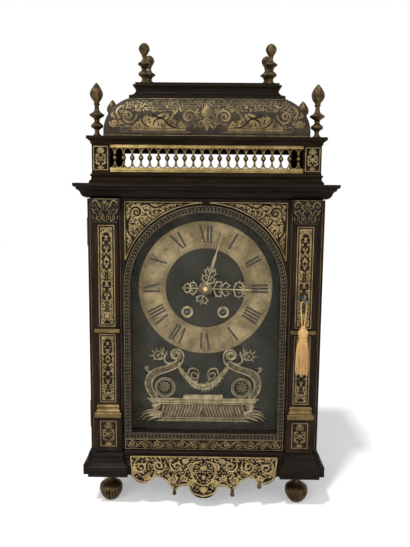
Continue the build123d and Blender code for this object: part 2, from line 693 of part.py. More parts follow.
# Key: a round bow in the upright plane, a collared shank and the bit
bow_y = FRONT - BOW_REACH
shank_start = bow_y + BOW_R
shank_end = lock_y + LOCK_T - 3
with BuildPart() as key:
    with BuildSketch(Plane(origin=(KEY_X, bow_y, KEY_Z + BOW_R), x_dir=(1, 0, 0), z_dir=(0, 1, 0))):
        Circle(BOW_WIRE_R)
    revolve(axis=Axis((KEY_X, bow_y, KEY_Z), (1, 0, 0)))
    rod(KEY_X, KEY_Z, shank_start, shank_end, KEY_R)
    rod(KEY_X, KEY_Z, FRONT - PILASTER_T - 3.5, FRONT - PILASTER_T - 2, KEY_R + 1.2)
    block(KEY_X - 0.8, KEY_X + 0.8, lock_y + 2, lock_y + LOCK_T - 4, KEY_Z - bit_r + 0.3, KEY_Z)
save(key, "key")

# Tassel: a doubled silk cord through the bow, a knotted head and a skirt of threads
rim_z = KEY_Z - BOW_R
head_top = KEY_Z - 33.5
loop_top = rim_z + BOW_WIRE_R + CORD_R + 1.0
cord_route = [(-1.1, head_top), (-2.7, head_top + 11), (-CORD_SPREAD, head_top + 21),
              (-CORD_SPREAD, loop_top), (CORD_SPREAD, loop_top), (CORD_SPREAD, head_top + 21),
              (2.7, head_top + 11), (1.1, head_top)]
cord_points = [Vector(KEY_X + x, bow_y, z) for x, z in cord_route]


def cord_radii(points):
    """Fillet radii for a limp cord: 0.45 of the shorter run over the tangent of half the turn."""
    radii = []
    for before, here, after in zip(points, points[1:], points[2:]):
        turn_angle = radians((here - before).get_angle(after - here))
        radii.append(0.45 * min((here - before).length, (after - here).length) / tan(turn_angle / 2))
    return radii


radii = cord_radii(cord_points)
print("cord radii", [round(radius, 1) for radius in radii])
with BuildPart() as tassel_cord:
    with BuildLine() as cord_path:
        FilletPolyline(*cord_points, radius=radii)
    start = cord_path.line @ 0
    with BuildSketch(Plane(origin=start, z_dir=cord_path.line % 0)):
        Circle(CORD_R)
    sweep()
cord_length = sum(edge.length for edge in cord_path.edges())
print("cord length", round(cord_length, 2), "volume share",
      round(tassel_cord.part.volume / (pi * CORD_R**2 * cord_length), 4))
save(tassel_cord, "tassel_cord")

head_edge = [(4, 0), (TASSEL_HEAD_R, 8, 1.2), (2.6, TASSEL_HEAD_H, 1.2)]
skirt_edge = [(TASSEL_SKIRT_R - 0.8, 0), (TASSEL_SKIRT_R, 4), (TASSEL_SKIRT_R - 1.2, 30, -0.5),
              (4.4, TASSEL_SKIRT_H, 1)]
with BuildPart() as tassel:
    turn(head_edge, KEY_X, bow_y, head_top - TASSEL_HEAD_H)
    turn(skirt_edge, KEY_X, bow_y, head_top - TASSEL_HEAD_H - TASSEL_SKIRT_H)
save(tassel, "tassel")

# Dial: wooden frame across the case, dark arched plate, chapter ring, winding collars
dial_r = DIAL_W / 2
frame_half = dial_r - 17.0
frame_low, frame_high = floor_top + 29.5, top_under - 23.0
dial_frame_back = DIAL_BACK + BOARD_T
with BuildPart() as dial_frame:
    block(-INSIDE_X, INSIDE_X, DIAL_BACK, dial_frame_back, floor_top, top_under)
    block(-frame_half, frame_half, DIAL_BACK, dial_frame_back, frame_low, frame_high, Mode.SUBTRACT)
    block(lock_x - LOCK_W - 2, INSIDE_X, DIAL_BACK, dial_frame_back, KEY_Z - LOCK_H / 2 - 4,
          KEY_Z + LOCK_H / 2 + 4, Mode.SUBTRACT)
save(dial_frame, "dial_frame")

with BuildPart() as dial_plate:
    with BuildSketch(upright(DIAL_BACK)):
        arch_face(dial_r, ARCH_Z - floor_top - 3)
        with Locations((0, DIAL_Z)):
            Circle(6.5, mode=Mode.SUBTRACT)
        with Locations((-WIND_X, WIND_Z), (WIND_X, WIND_Z)):
            Circle(COLLAR_BORE, mode=Mode.SUBTRACT)
    extrude(amount=DIAL_T)
save(dial_plate, "dial_plate")

with BuildPart() as chapter_ring:
    with BuildSketch(upright(DIAL_FRONT)):
        with Locations((0, DIAL_Z)):
            Circle(RING_R)
            Circle(RING_IN_R, mode=Mode.SUBTRACT)
    extrude(amount=RING_T)
save(chapter_ring, "chapter_ring")

with BuildPart() as winding_collars:
    for x in (-WIND_X, WIND_X):
        rod(x, WIND_Z, DIAL_FRONT - 1.5, DIAL_FRONT, COLLAR_R)
        rod(x, WIND_Z, DIAL_FRONT - 1.5, DIAL_FRONT, COLLAR_BORE, Mode.SUBTRACT)
save(winding_collars, "winding_collars")

# Brass mount under the ring: gadrooned base, two roundels, two scrolls and a swag
mount_z = ARCH_Z - ARCH_DROP - 1.0
slab_half, slab_low, slab_high = 77.0, 28.0, 34.0
panel_half, panel_low = 45.6, 6.0
roundel_x, roundel_h, roundel_r = 53.0, 50.0, 13.0
scroll_x, scroll_h, scroll_r = 39.5, 99.0, 6.5
paw_x, paw_w = 71.0, 30.0
swag_drop = 49.0
across, up = DIAL_W / MOUNT_GRID_W, (DIAL_Z - RING_R - mount_z) / MOUNT_GRID_H
curl_low, curl_high, curl_out, curl_in = 60, 92, 75, 48


def grid(x, h):
    """A point of the mount's grid, stretched to the dial."""
    return (x * across, h * up)


mount_plane = Plane(origin=(0, DIAL_FRONT, mount_z), x_dir=(1, 0, 0), z_dir=(0, -1, 0))
with BuildPart() as dial_mount:
    with BuildSketch(mount_plane):
        with BuildLine():
            half_slab = [(0, slab_high), (slab_half, slab_high), (slab_half, slab_low),
                         (panel_half + 13, slab_low - 4), (panel_half + 2, slab_low - 6),
                         (panel_half, panel_low + 1), (panel_half + 5, panel_low - 2), (panel_half + 5, 0),
                         (0, 0)]
            Polyline(*[grid(x, h) for x, h in half_slab])
            mirror(about=Plane.YZ)
        make_face()
        for side in (-1, 1):
            with Locations(grid(side * roundel_x, roundel_h)):
                Circle(roundel_r * up)
            with Locations(grid(side * scroll_x, scroll_h)):
                Circle(scroll_r * up)
            with Locations(grid(side * paw_x, 7.5)):
                Ellipse(paw_w / 2 * across, 7.5 * up)
            with Locations(grid(side * (paw_x - 6), 18)):
                Rectangle(12 * across, (slab_low - 7) * up)
            with BuildLine():
                foot_out, foot_in = grid(side * 73, slab_high - 1), grid(side * 65, slab_high - 1)
                waist, inner = grid(side * curl_low, 82), grid(side * 58, 66)
                neck = grid(side * 45, scroll_h + 3)
                tip = grid(side * (scroll_x - scroll_r + 1), scroll_h + 1)
                ThreePointArc(foot_out, grid(side * curl_out, 60), waist)
                ThreePointArc(waist, grid(side * 50, curl_high), neck)
                Line(neck, tip)
                ThreePointArc(tip, grid(side * curl_in, 82), inner)
                ThreePointArc(inner, grid(side * 64, 50), foot_in)
                Line(foot_in, foot_out)
            make_face()
        with BuildLine():
            right_low, left_low = grid(scroll_x, scroll_h - 7), grid(-scroll_x, scroll_h - 7)
            right_high, left_high = grid(scroll_x - 6, scroll_h - 2), grid(6 - scroll_x, scroll_h - 2)
            ThreePointArc(left_low, grid(0, swag_drop), right_low)
            Line(right_low, right_high)
            ThreePointArc(right_high, grid(0, swag_drop + 11), left_high)
            Line(left_high, left_low)
        make_face()
        with Locations(grid(0, slab_high + 7)):
            Ellipse(panel_half * 0.57 * across, 11 * up)
    extrude(amount=MOUNT_T)
save(dial_mount, "dial_mount")


# Hands: pierced brass blades on hubs
def hand_plane(depth, angle):
    """The plane of a hand, with local y along the blade at this angle past twelve."""
    swing = radians(angle)
    return Plane(origin=(0, FRONT + depth, DIAL_Z), x_dir=(cos(swing), 0, -sin(swing)), z_dir=(0, -1, 0))


def blade(length, tail, hub_r, bore):
    """A pierced hand in its own plane, pointing up, with two open scrolls along it."""
    ring_r = 0.075 * length + 1.2
    with BuildLine() as outline:
        Polyline((-1.6, 0), (-1.2, 0.55 * length), (0, length), (1.2, 0.55 * length), (1.6, 0), (1.2, -tail),
                 (-1.2, -tail), (-1.6, 0))
    make_face(outline.edges())
    Circle(hub_r)
    for place in (0.3, 0.52):
        with Locations((-ring_r * 0.8, place * length), (ring_r * 0.8, place * length)):
            Circle(ring_r)
            Circle(ring_r - 1.5, mode=Mode.SUBTRACT)
    with Locations((0, -tail + 3)):
        Circle(3.6)
        Circle(2, mode=Mode.SUBTRACT)
    Circle(bore, mode=Mode.SUBTRACT)


cannon_r = CENTRE_R + RUN + 1.35
pipe_r = cannon_r + RUN + 1.3
with BuildPart() as minute_hand:
    with BuildSketch(hand_plane(MINUTE_DEPTH + HAND_T, MINUTE_ANGLE)):
        blade(MINUTE_L, MINUTE_TAIL, 6.5, cannon_r)
    extrude(amount=HAND_T)
save(minute_hand, "minute_hand")

with BuildPart() as hour_hand:
    with BuildSketch(hand_plane(HOUR_DEPTH + HAND_T, HOUR_ANGLE)):
        blade(HOUR_L, HOUR_TAIL, 9.3, pipe_r)
    extrude(amount=HAND_T)
save(hour_hand, "hour_hand")


# Wheels and pinions
def teeth(x, z, y_low, y_high, count, pitch_r, phase, depth=1.0):
    """A wheel of pointed teeth about x, z; one tooth stands at the phase angle from +X."""
    module = 2 * pitch_r / count
    tip, root = pitch_r + 0.8 * depth * module, pitch_r - 1.1 * depth * module
    points = []
    for number in range(count):
        for radius, share in ((root, -0.24), (tip, 0), (root, 0.24)):
            angle = radians(phase + (number + share) * 360 / count)
            points.append((x + radius * cos(angle), z + radius * sin(angle)))
    with BuildSketch(upright(y_high)) as wheel:
        with BuildLine():
            Polyline(*points, close=True)
        make_face()
    extrude(wheel.sketch, amount=y_high - y_low)


def meshed(count, driver_count, driver_phase, line_angle):
    """Phase that sets a wheel's gap against the driver's tooth along the line of centres."""
    shift = (driver_phase - line_angle) * driver_count / count
    return line_angle + 180 + 180 / count - shift


def bearing(angle_from, angle_to):
    """Angle of the line between two arbors, in degrees from +X."""
    line = Vector(angle_to[0] - angle_from[0], angle_to[1] - angle_from[1])
    return Vector(1, 0).get_signed_angle(line, Vector(0, 0, 1))


centre_at = (0, DIAL_Z)
third_at = (THIRD_X, THIRD_Z)
escape_at = (0, ESCAPE_Z)
going_at = (WIND_X, WIND_Z)
strike_at = (-WIND_X, WIND_Z)
motion_at = (-MOTION_CENTRES, DIAL_Z)
great_centres = sqrt(WIND_X**2 + WIND_DROP**2)
great_r = great_centres * GREAT_TEETH / (GREAT_TEETH + PINION_LEAVES)
centre_pinion_r = great_centres - great_r
centre_r = THIRD_CENTRES * CENTRE_TEETH / (CENTRE_TEETH + SMALL_LEAVES)
third_r = ESCAPE_CENTRES * THIRD_TEETH / (THIRD_TEETH + SMALL_LEAVES)
cannon_pitch_r = MOTION_CENTRES * CANNON_TEETH / (CANNON_TEETH + MINUTE_TEETH)
hour_r = MOTION_CENTRES * HOUR_TEETH / (HOUR_TEETH + CANNON_TEETH)
back_end = BACK_PLATE_BACK + 0.8
going_wheel_y = BACK_PLATE_Y - 8.5
centre_wheel_y = BACK_PLATE_Y - 4.0
third_wheel_y = FRONT_PLATE_BACK + 22.0
escape_wheel_y = FRONT_PLATE_BACK + 14.0
strike_wheel_y = FRONT_PLATE_BACK + 3.5
great_t = WHEEL_T + 0.5
hour_wheel_y = FRONT_PLATE_Y - 8.7
minute_wheel_y = FRONT_PLATE_Y - 4.5

# Movement plates, bored for every arbor, on the seat board, with four turned pillars
strike_lean = radians(110)
strike_arbor_at = (-WIND_X + great_centres * cos(strike_lean), WIND_Z + great_centres * sin(strike_lean))
hammer_at = (-40.0, DIAL_Z + 34.0)
pillar_x = PLATE_W / 2 - PILLAR_R - 1.5
pillar_levels = (PLATE_Z + PILLAR_R + 0.5, PLATE_TOP - PILLAR_R - 2)
with BuildPart() as movement_plates:
    for y in (FRONT_PLATE_Y, BACK_PLATE_Y):
        block(-PLATE_W / 2, PLATE_W / 2, y, y + PLATE_T, PLATE_Z, PLATE_TOP)
        for x in (-WIND_X, WIND_X):
            rod(x, WIND_Z, y, y + PLATE_T, WINDER_R + RUN, Mode.SUBTRACT)
        rod(*centre_at, y, y + PLATE_T, CENTRE_R + RUN, Mode.SUBTRACT)
        for x, z in (third_at, escape_at, strike_arbor_at, hammer_at):
            rod(x, z, y, y + PLATE_T, PIVOT_R + RUN, Mode.SUBTRACT)
    rod(0, ANCHOR_Z, FRONT_PLATE_Y, FRONT_PLATE_BACK, PIVOT_R + RUN, Mode.SUBTRACT)
    rod(0, ANCHOR_Z, BACK_PLATE_Y, BACK_PLATE_BACK, 5, Mode.SUBTRACT)
save(movement_plates, "movement_plates")

with BuildPart() as pillars:
    for x in (-pillar_x, pillar_x):
        for z in pillar_levels:
            rod(x, z, FRONT_PLATE_BACK, BACK_PLATE_Y, PILLAR_R * 0.7)
            rod(x, z, FRONT_PLATE_BACK, FRONT_PLATE_BACK + 4, PILLAR_R)
            rod(x, z, BACK_PLATE_Y - 4, BACK_PLATE_Y, PILLAR_R)
            rod(x, z, FRONT_PLATE_BACK + 16, BACK_PLATE_Y - 16, PILLAR_R)
save(pillars, "pillars")

with BuildPart() as seat_board:
    block(-INSIDE_X, INSIDE_X, FRONT_PLATE_Y - 2, BACK_PLATE_BACK + 4, SEAT_Z, PLATE_Z)
save(seat_board, "seat_board")

# Barrels with their great wheels, each on a winding arbor with a square and a ratchet
going_phase = bearing(going_at, centre_at)
strike_phase = bearing(strike_at, strike_arbor_at)
with BuildPart() as going_barrel:
    teeth(*going_at, going_wheel_y, going_wheel_y + great_t, GREAT_TEETH, great_r, going_phase)
    rod(*going_at, going_wheel_y - DRUM_L, going_wheel_y, DRUM_R)
    rod(*going_at, going_wheel_y - DRUM_L, going_wheel_y + great_t, WINDER_R + RUN, Mode.SUBTRACT)
save(going_barrel, "going_barrel")

with BuildPart() as strike_barrel:
    teeth(*strike_at, strike_wheel_y, strike_wheel_y + great_t, GREAT_TEETH, great_r, strike_phase)
    rod(*strike_at, strike_wheel_y + great_t, strike_wheel_y + great_t + DRUM_L, DRUM_R - 1)
    rod(*strike_at, strike_wheel_y, strike_wheel_y + great_t + DRUM_L, WINDER_R + RUN, Mode.SUBTRACT)
save(strike_barrel, "strike_barrel")


def winder(x):
    """Arbor, ratchet wheel and squared end of one barrel."""
    rod(x, WIND_Z, FRONT_PLATE_Y - 4, back_end, WINDER_R)
    block(x - WINDER_R * 0.7, x + WINDER_R * 0.7, DIAL_FRONT - 0.5, FRONT_PLATE_Y - 4,
          WIND_Z - WINDER_R * 0.7, WIND_Z + WINDER_R * 0.7)
    teeth(x, WIND_Z, FRONT_PLATE_Y - 3, FRONT_PLATE_Y - 1, 24, 8, 0)


with BuildPart() as going_winder:
    winder(WIND_X)
save(going_winder, "going_winder")

with BuildPart() as strike_winder:
    winder(-WIND_X)
save(strike_winder, "strike_winder")

# Going train: centre wheel, third wheel and escape wheel on their arbors
centre_pinion_phase = meshed(PINION_LEAVES, GREAT_TEETH, going_phase, going_phase)
third_line = bearing(centre_at, third_at)
escape_line = bearing(third_at, escape_at)
third_pinion_phase = meshed(SMALL_LEAVES, CENTRE_TEETH, third_line, third_line)
escape_pinion_phase = meshed(SMALL_LEAVES, THIRD_TEETH, escape_line, escape_line)
with BuildPart() as centre_wheel:
    rod(*centre_at, FRONT + MINUTE_DEPTH - 1.5, back_end, CENTRE_R)
    teeth(*centre_at, centre_wheel_y, centre_wheel_y + WHEEL_T, CENTRE_TEETH, centre_r, third_line)
    teeth(*centre_at, going_wheel_y - 1, centre_wheel_y, PINION_LEAVES, centre_pinion_r,
          centre_pinion_phase, 0.9)
save(centre_wheel, "centre_wheel")


def pivoted_arbor(x, z):
    """An arbor between the plates with a thin pivot at each end."""
    rod(x, z, FRONT_PLATE_BACK + 0.2, BACK_PLATE_Y - 0.2, ARBOR_R)
    rod(x, z, FRONT_PLATE_Y, BACK_PLATE_BACK, PIVOT_R)


with BuildPart() as third_wheel:
    pivoted_arbor(*third_at)
    teeth(*third_at, third_wheel_y, third_wheel_y + WHEEL_T, THIRD_TEETH, third_r, escape_line)
    teeth(*third_at, centre_wheel_y - 1, centre_wheel_y + WHEEL_T + 1, SMALL_LEAVES, THIRD_CENTRES - centre_r,
          third_pinion_phase, 0.9)
save(third_wheel, "third_wheel")

with BuildPart() as escape_wheel:
    pivoted_arbor(*escape_at)
    teeth(*escape_at, third_wheel_y - 1, third_wheel_y + WHEEL_T + 1, SMALL_LEAVES, ESCAPE_CENTRES - third_r,
          escape_pinion_phase, 0.9)
    teeth(*escape_at, escape_wheel_y, escape_wheel_y + 1.5, ESCAPE_TEETH, ESCAPE_R - 0.6, 0)
save(escape_wheel, "escape_wheel")

# Motion work: cannon pinion under the minute hand, minute wheel, hour wheel and its pipe
minute_phase = meshed(MINUTE_TEETH, CANNON_TEETH, 180, 180)
with BuildPart() as cannon_pinion:
    rod(*centre_at, FRONT + MINUTE_DEPTH, FRONT_PLATE_Y - 0.5, cannon_r)
    teeth(*centre_at, minute_wheel_y - 0.5, FRONT_PLATE_Y - 1, CANNON_TEETH, cannon_pitch_r, 180)
    rod(*centre_at, FRONT + MINUTE_DEPTH, FRONT_PLATE_Y, CENTRE_R + RUN, Mode.SUBTRACT)
save(cannon_pinion, "cannon_pinion")

with BuildPart() as minute_wheel:
    teeth(*motion_at, minute_wheel_y, minute_wheel_y + WHEEL_T, MINUTE_TEETH, MOTION_CENTRES - cannon_pitch_r,
          minute_phase)
    teeth(*motion_at, hour_wheel_y - 0.5, minute_wheel_y, CANNON_TEETH, MOTION_CENTRES - hour_r, 0)
    rod(*motion_at, minute_wheel_y + WHEEL_T, FRONT_PLATE_Y - 0.2, ARBOR_R)
save(minute_wheel, "minute_wheel")

with BuildPart() as hour_wheel:
    rod(*centre_at, FRONT + HOUR_DEPTH, hour_wheel_y, pipe_r)
    teeth(*centre_at, hour_wheel_y, hour_wheel_y + WHEEL_T, HOUR_TEETH, hour_r,
          meshed(HOUR_TEETH, CANNON_TEETH, 0, 0))
    rod(*centre_at, FRONT + HOUR_DEPTH, hour_wheel_y + WHEEL_T, cannon_r + RUN, Mode.SUBTRACT)
save(hour_wheel, "hour_wheel")

# Strike wheel with its lifting pins, hammer and bell
strike_wheel_r = 13.5
pin_circle = strike_wheel_r - 1.5
strike_lift_y = BACK_PLATE_Y - 8.0
strike_pinion_phase = meshed(PINION_LEAVES, GREAT_TEETH, strike_phase, strike_phase)
with BuildPart() as strike_wheel:
    pivoted_arbor(*strike_arbor_at)
    teeth(*strike_arbor_at, strike_wheel_y - 1, strike_wheel_y + great_t + 1, PINION_LEAVES,
          centre_pinion_r, strike_pinion_phase, 0.9)
    rod(*strike_arbor_at, strike_lift_y, strike_lift_y + WHEEL_T, strike_wheel_r)
    for number in range(STRIKE_PINS):
        swing = 2 * pi * number / STRIKE_PINS
        rod(strike_arbor_at[0] + pin_circle * cos(swing), strike_arbor_at[1] + pin_circle * sin(swing),
            strike_lift_y - STRIKE_PIN_L, strike_lift_y, STRIKE_PIN_R)
save(strike_wheel, "strike_wheel")

bell_y = (FRONT_PLATE_BACK + BACK_PLATE_Y) / 2
bell_out = [(BELL_R, 0), (BELL_R - 1, 4), (5, BELL_H, 7)]
bell_in = [(BELL_R - BELL_T, 0), (BELL_R - 1 - BELL_T, 4), (5, BELL_H - BELL_T, 6.4)]
with BuildPart() as bell:
    turn(bell_out, 0, bell_y, BELL_Z)
    turn(bell_in, 0, bell_y, BELL_Z, Mode.SUBTRACT)
    block(-4, 4, bell_y - 4, BACK_PLATE_BACK + 2, BELL_Z + BELL_H, BELL_Z + BELL_H + 2)
    block(-4, 4, BACK_PLATE_BACK, BACK_PLATE_BACK + 2, PLATE_TOP - 5, BELL_Z + BELL_H)
save(bell, "bell")

hammer_gap = 1.2
hammer_t = 2.0
hammer_y = bell_y - 3
hammer_x, hammer_z = hammer_at
face_x = -BELL_R - hammer_gap
head_l, head_w = 9.0, 6.0
tail_y = strike_lift_y - STRIKE_PIN_L + 0.5
tail_z = strike_arbor_at[1] + pin_circle + STRIKE_PIN_R + 0.9
with BuildPart() as hammer:
    pivoted_arbor(*hammer_at)
    with BuildSketch(upright(hammer_y + hammer_t)):
        with BuildLine():
            Polyline((hammer_x - hammer_t, hammer_z), (face_x - head_l * 0.7, BELL_Z),
                     (face_x - head_l * 0.3, BELL_Z), (hammer_x + hammer_t, hammer_z), close=True)
        make_face()
    extrude(amount=hammer_t)
    block(face_x - head_l, face_x, hammer_y - (head_w - hammer_t) / 2, hammer_y + (head_w + hammer_t) / 2,
          BELL_Z - 1, BELL_Z - 1 + head_w)
    block(hammer_x - hammer_t / 2, hammer_x + hammer_t / 2, tail_y, tail_y + hammer_t, tail_z, hammer_z)
save(hammer, "hammer")

# Back cock, anchor with its crutch, and the pendulum
cock_y = BACK_PLATE_BACK + 9.0
cock_t = 2.5
hang_z = ANCHOR_Z + 5.0
stud_r = 1.2
pendulum_y = FRONT + PENDULUM_DEPTH
with BuildPart() as back_cock:
    block(-12, 12, cock_y, cock_y + cock_t, ANCHOR_Z - 4, ANCHOR_Z + 9)
    for side in (-1, 1):
        rod(side * 9, ANCHOR_Z + 2, BACK_PLATE_BACK, cock_y, 2)
    rod(0, hang_z, cock_y + cock_t, pendulum_y + 3, stud_r)
    rod(0, ANCHOR_Z, cock_y, cock_y + cock_t, PIVOT_R + RUN, Mode.SUBTRACT)
save(back_cock, "back_cock")

crutch_y = BACK_PLATE_BACK + 4.0
with BuildPart() as anchor:
    rod(0, ANCHOR_Z, FRONT_PLATE_BACK + 0.2, cock_y - 0.2, ARBOR_R)
    rod(0, ANCHOR_Z, FRONT_PLATE_Y, cock_y + cock_t, PIVOT_R)
    with BuildSketch(upright(escape_wheel_y + 1.5)):
        with BuildLine():
            Polyline((0, ANCHOR_Z + 3), (12.5, ESCAPE_Z + 9), (13.5, ESCAPE_Z + 3), (11.5, ESCAPE_Z + 3),
                     (10.4, ESCAPE_Z + 8), (0, ANCHOR_Z - 2))
            mirror(about=Plane.YZ)
        make_face()
    extrude(amount=1.5)
    block(-1, 1, crutch_y, crutch_y + 1.5, ANCHOR_Z - 38, ANCHOR_Z)
    for side in (-1, 1):
        low, high = sorted((side * 1.6, side * 2.8))
        block(low, high, crutch_y, pendulum_y + 2, ANCHOR_Z - 38, ANCHOR_Z - 35)
    block(-2.8, 2.8, crutch_y, crutch_y + 1.5, ANCHOR_Z - 38, ANCHOR_Z - 35)
save(anchor, "anchor")

bob_z = ANCHOR_Z - PENDULUM_L
pendulum_r = 1.2
with BuildPart() as pendulum_rod:
    rod(0, hang_z, cock_y + cock_t + FIT_GAP, pendulum_y + 1.5, 2.8)
    block(-2.5, 2.5, pendulum_y - 0.6, pendulum_y + 0.6, ANCHOR_Z - 22, hang_z)
    rod(0, hang_z, cock_y, pendulum_y + 3, stud_r + RUN, Mode.SUBTRACT)
    knuckle(0, pendulum_y, bob_z - BOB_R - 10, ANCHOR_Z - 22, pendulum_r)
    knuckle(0, pendulum_y, bob_z - BOB_R - 5, bob_z - BOB_R - 1, 4)
save(pendulum_rod, "pendulum_rod")

with BuildPart() as pendulum_bob:
    with BuildSketch(Plane(origin=(0, pendulum_y, bob_z), x_dir=(1, 0, 0), z_dir=(0, 0, 1))):
        with BuildLine():
            ThreePointArc((0, -BOB_T / 2), (BOB_R * 0.6, -BOB_T * 0.36), (BOB_R, 0))
            ThreePointArc((BOB_R, 0), (BOB_R * 0.6, BOB_T * 0.36), (0, BOB_T / 2))
            Line((0, BOB_T / 2), (0, -BOB_T / 2))
        make_face()
    revolve(axis=Axis((0, pendulum_y, bob_z), (0, 1, 0)))
    knuckle(0, pendulum_y, bob_z - BOB_R, bob_z + BOB_R, pendulum_r, Mode.SUBTRACT)
save(pendulum_bob, "pendulum_bob")
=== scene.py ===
"""Looks of the religieuse clock: finishes, inlay, chasing, hands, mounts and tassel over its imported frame.

Every piece is in metres in the frame's own axes: +Z up and the dial towards -Y. Sizes are written in
millimetres in the classes and turned into metres where a mesh is made.
"""

from __future__ import annotations

import logging
import math
import random
from dataclasses import dataclass, field
from enum import Enum
from typing import Callable, Iterable, Sequence

import bpy
from mathutils import Matrix, Vector

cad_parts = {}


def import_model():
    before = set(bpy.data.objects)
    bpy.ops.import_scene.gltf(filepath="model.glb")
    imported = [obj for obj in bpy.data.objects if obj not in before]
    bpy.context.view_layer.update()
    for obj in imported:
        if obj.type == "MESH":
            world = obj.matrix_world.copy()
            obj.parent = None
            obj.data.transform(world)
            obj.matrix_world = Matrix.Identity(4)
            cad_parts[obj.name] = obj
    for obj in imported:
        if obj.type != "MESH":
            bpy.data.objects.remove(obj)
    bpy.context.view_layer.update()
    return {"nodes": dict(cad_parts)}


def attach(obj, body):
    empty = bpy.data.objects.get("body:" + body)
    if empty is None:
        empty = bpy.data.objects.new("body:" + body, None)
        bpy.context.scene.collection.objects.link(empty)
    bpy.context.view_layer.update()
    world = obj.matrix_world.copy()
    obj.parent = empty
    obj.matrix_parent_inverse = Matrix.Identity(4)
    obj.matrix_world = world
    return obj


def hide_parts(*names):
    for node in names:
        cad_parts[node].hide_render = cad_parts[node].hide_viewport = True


LOG = logging.getLogger("religieuse_clock")
MM = 0.001
TAU = 2 * math.pi
SIDES = (-1, 1)
WELD = 0.000004
FINEST = 0.02
Point = tuple[float, float]
Place = tuple[float, float, float]
Colour = tuple[float, float, float]
Rule = Callable[[float, float, float], Vector]
Piece = bpy.types.Object


class Hand(Enum):
    """Which way a scroll winds."""

    LEFT = 1
    RIGHT = -1


class Grain(Enum):
    """The way that a board's grain runs, as the stretch of its pattern along X, Y and Z."""

    ACROSS = (0.12, 1, 1)
    UPRIGHT = (1, 1, 0.12)


# ---- shader trees


@dataclass
class Wiring:
    """The nodes of one shader tree, added and linked row by row."""

    tree: bpy.types.NodeTree

    def add(self, kind: str, values: dict[str | int, object] | None = None, **settings: object) -> bpy.types.Node:
        """Add a node.

        Args:
            kind: the node's type.
            values: name or number of an input to its value.
            settings: the node's own settings.

        Returns:
            The node.
        """
        node = self.tree.nodes.new(kind)
        for key, value in settings.items():
            setattr(node, key, value)
        for key, value in (values or {}).items():
            node.inputs[key].default_value = value
        return node

    def link(self, *rows: tuple[bpy.types.Node, str | int, bpy.types.Node, str | int]) -> None:
        """Link, for each row, an output of one node to an input of another."""
        for source, output, target, into in rows:
            self.tree.links.new(source.outputs[output], target.inputs[into])


def shaded(name: str, values: dict[str, object]) -> tuple[bpy.types.Material, Wiring, bpy.types.Node]:
    """A new material with its tree and its shader, whose inputs have these values."""
    made = bpy.data.materials.new(name)
    made.use_nodes = True
    shader = made.node_tree.nodes["Principled BSDF"]
    for key, value in values.items():
        shader.inputs[key].default_value = value
    return made, Wiring(made.node_tree), shader


class Groups:
    """Shader node groups that several finishes share, each built once."""

    made: dict[str, bpy.types.NodeTree] = {}

    @classmethod
    def start(cls, name: str, inputs: dict[str, tuple[str, object]]) -> Wiring:
        """Open a new shader group that gives a mask and a height.

        Args:
            name: the group's name.
            inputs: socket name to socket type and first value.

        Returns:
            The new group's wiring.
        """
        tree = bpy.data.node_groups.new(name, "ShaderNodeTree")
        for label, (kind, value) in inputs.items():
            tree.interface.new_socket(name=label, in_out="INPUT", socket_type=kind).default_value = value
        for label in ("Mask", "Height"):
            tree.interface.new_socket(name=label, in_out="OUTPUT", socket_type="NodeSocketFloat")
        cls.made[name] = tree
        return Wiring(tree)

    @classmethod
    def tarnish(cls) -> bpy.types.NodeTree:
        """Cloudy and speckled tarnish: a mask from 0, bright, to 1, dull."""
        if "Tarnish" in cls.made:
            return cls.made["Tarnish"]
        made = cls.start("Tarnish", {"Scale": ("NodeSocketFloat", 60), "Speckle": ("NodeSocketFloat", 0.4)})
        source, sink, place = (made.add(kind) for kind in ("NodeGroupInput", "NodeGroupOutput", "ShaderNodeTexCoord"))
        cloud = made.add("ShaderNodeTexNoise", {"Detail": 6, "Roughness": 0.62})
        fleck = made.add("ShaderNodeTexNoise", {"Detail": 3.0})
        faster = made.add("ShaderNodeMath", {1: 9.0}, operation="MULTIPLY")
        spread = made.add("ShaderNodeMapRange", {"From Min": 0.34, "From Max": 0.7})
        blend = made.add("ShaderNodeMath", operation="MULTIPLY")
        total = made.add("ShaderNodeMath", operation="ADD", use_clamp=True)
        made.link((place, "Object", cloud, "Vector"), (place, "Object", fleck, "Vector"),
                  (source, "Scale", cloud, "Scale"), (source, "Scale", faster, 0), (faster, 0, fleck, "Scale"),
                  (cloud, "Fac", spread, "Value"), (fleck, "Fac", blend, 0), (source, "Speckle", blend, 1),
                  (spread, "Result", total, 0), (blend, 0, total, 1), (total, 0, sink, "Mask"),
                  (fleck, "Fac", sink, "Height"))
        return made.tree

    @classmethod
    def grain(cls) -> bpy.types.NodeTree:
        """Wood figure: long fibres with pores, stretched by a vector."""
        if "Grain" in cls.made:
            return cls.made["Grain"]
        made = cls.start("Grain", {"Stretch": ("NodeSocketVector", Grain.UPRIGHT.value),
                                   "Scale": ("NodeSocketFloat", 220)})
        source, sink, place = (made.add(kind) for kind in ("NodeGroupInput", "NodeGroupOutput", "ShaderNodeTexCoord"))
        stretch = made.add("ShaderNodeVectorMath", operation="MULTIPLY")
        figure = made.add("ShaderNodeTexNoise", {"Detail": 5, "Distortion": 0.35})
        pores = made.add("ShaderNodeTexNoise", {"Detail": 2.0})
        finer = made.add("ShaderNodeMath", {1: 4.0}, operation="MULTIPLY")
        spread = made.add("ShaderNodeMapRange", {"From Min": 0.35, "From Max": 0.68})
        made.link((place, "Object", stretch, 0), (source, "Stretch", stretch, 1), (stretch, 0, figure, "Vector"),
                  (stretch, 0, pores, "Vector"), (source, "Scale", figure, "Scale"), (source, "Scale", finer, 0),
                  (finer, 0, pores, "Scale"), (figure, "Fac", spread, "Value"), (spread, "Result", sink, "Mask"),
                  (pores, "Fac", sink, "Height"))
        return made.tree


# ---- finishes


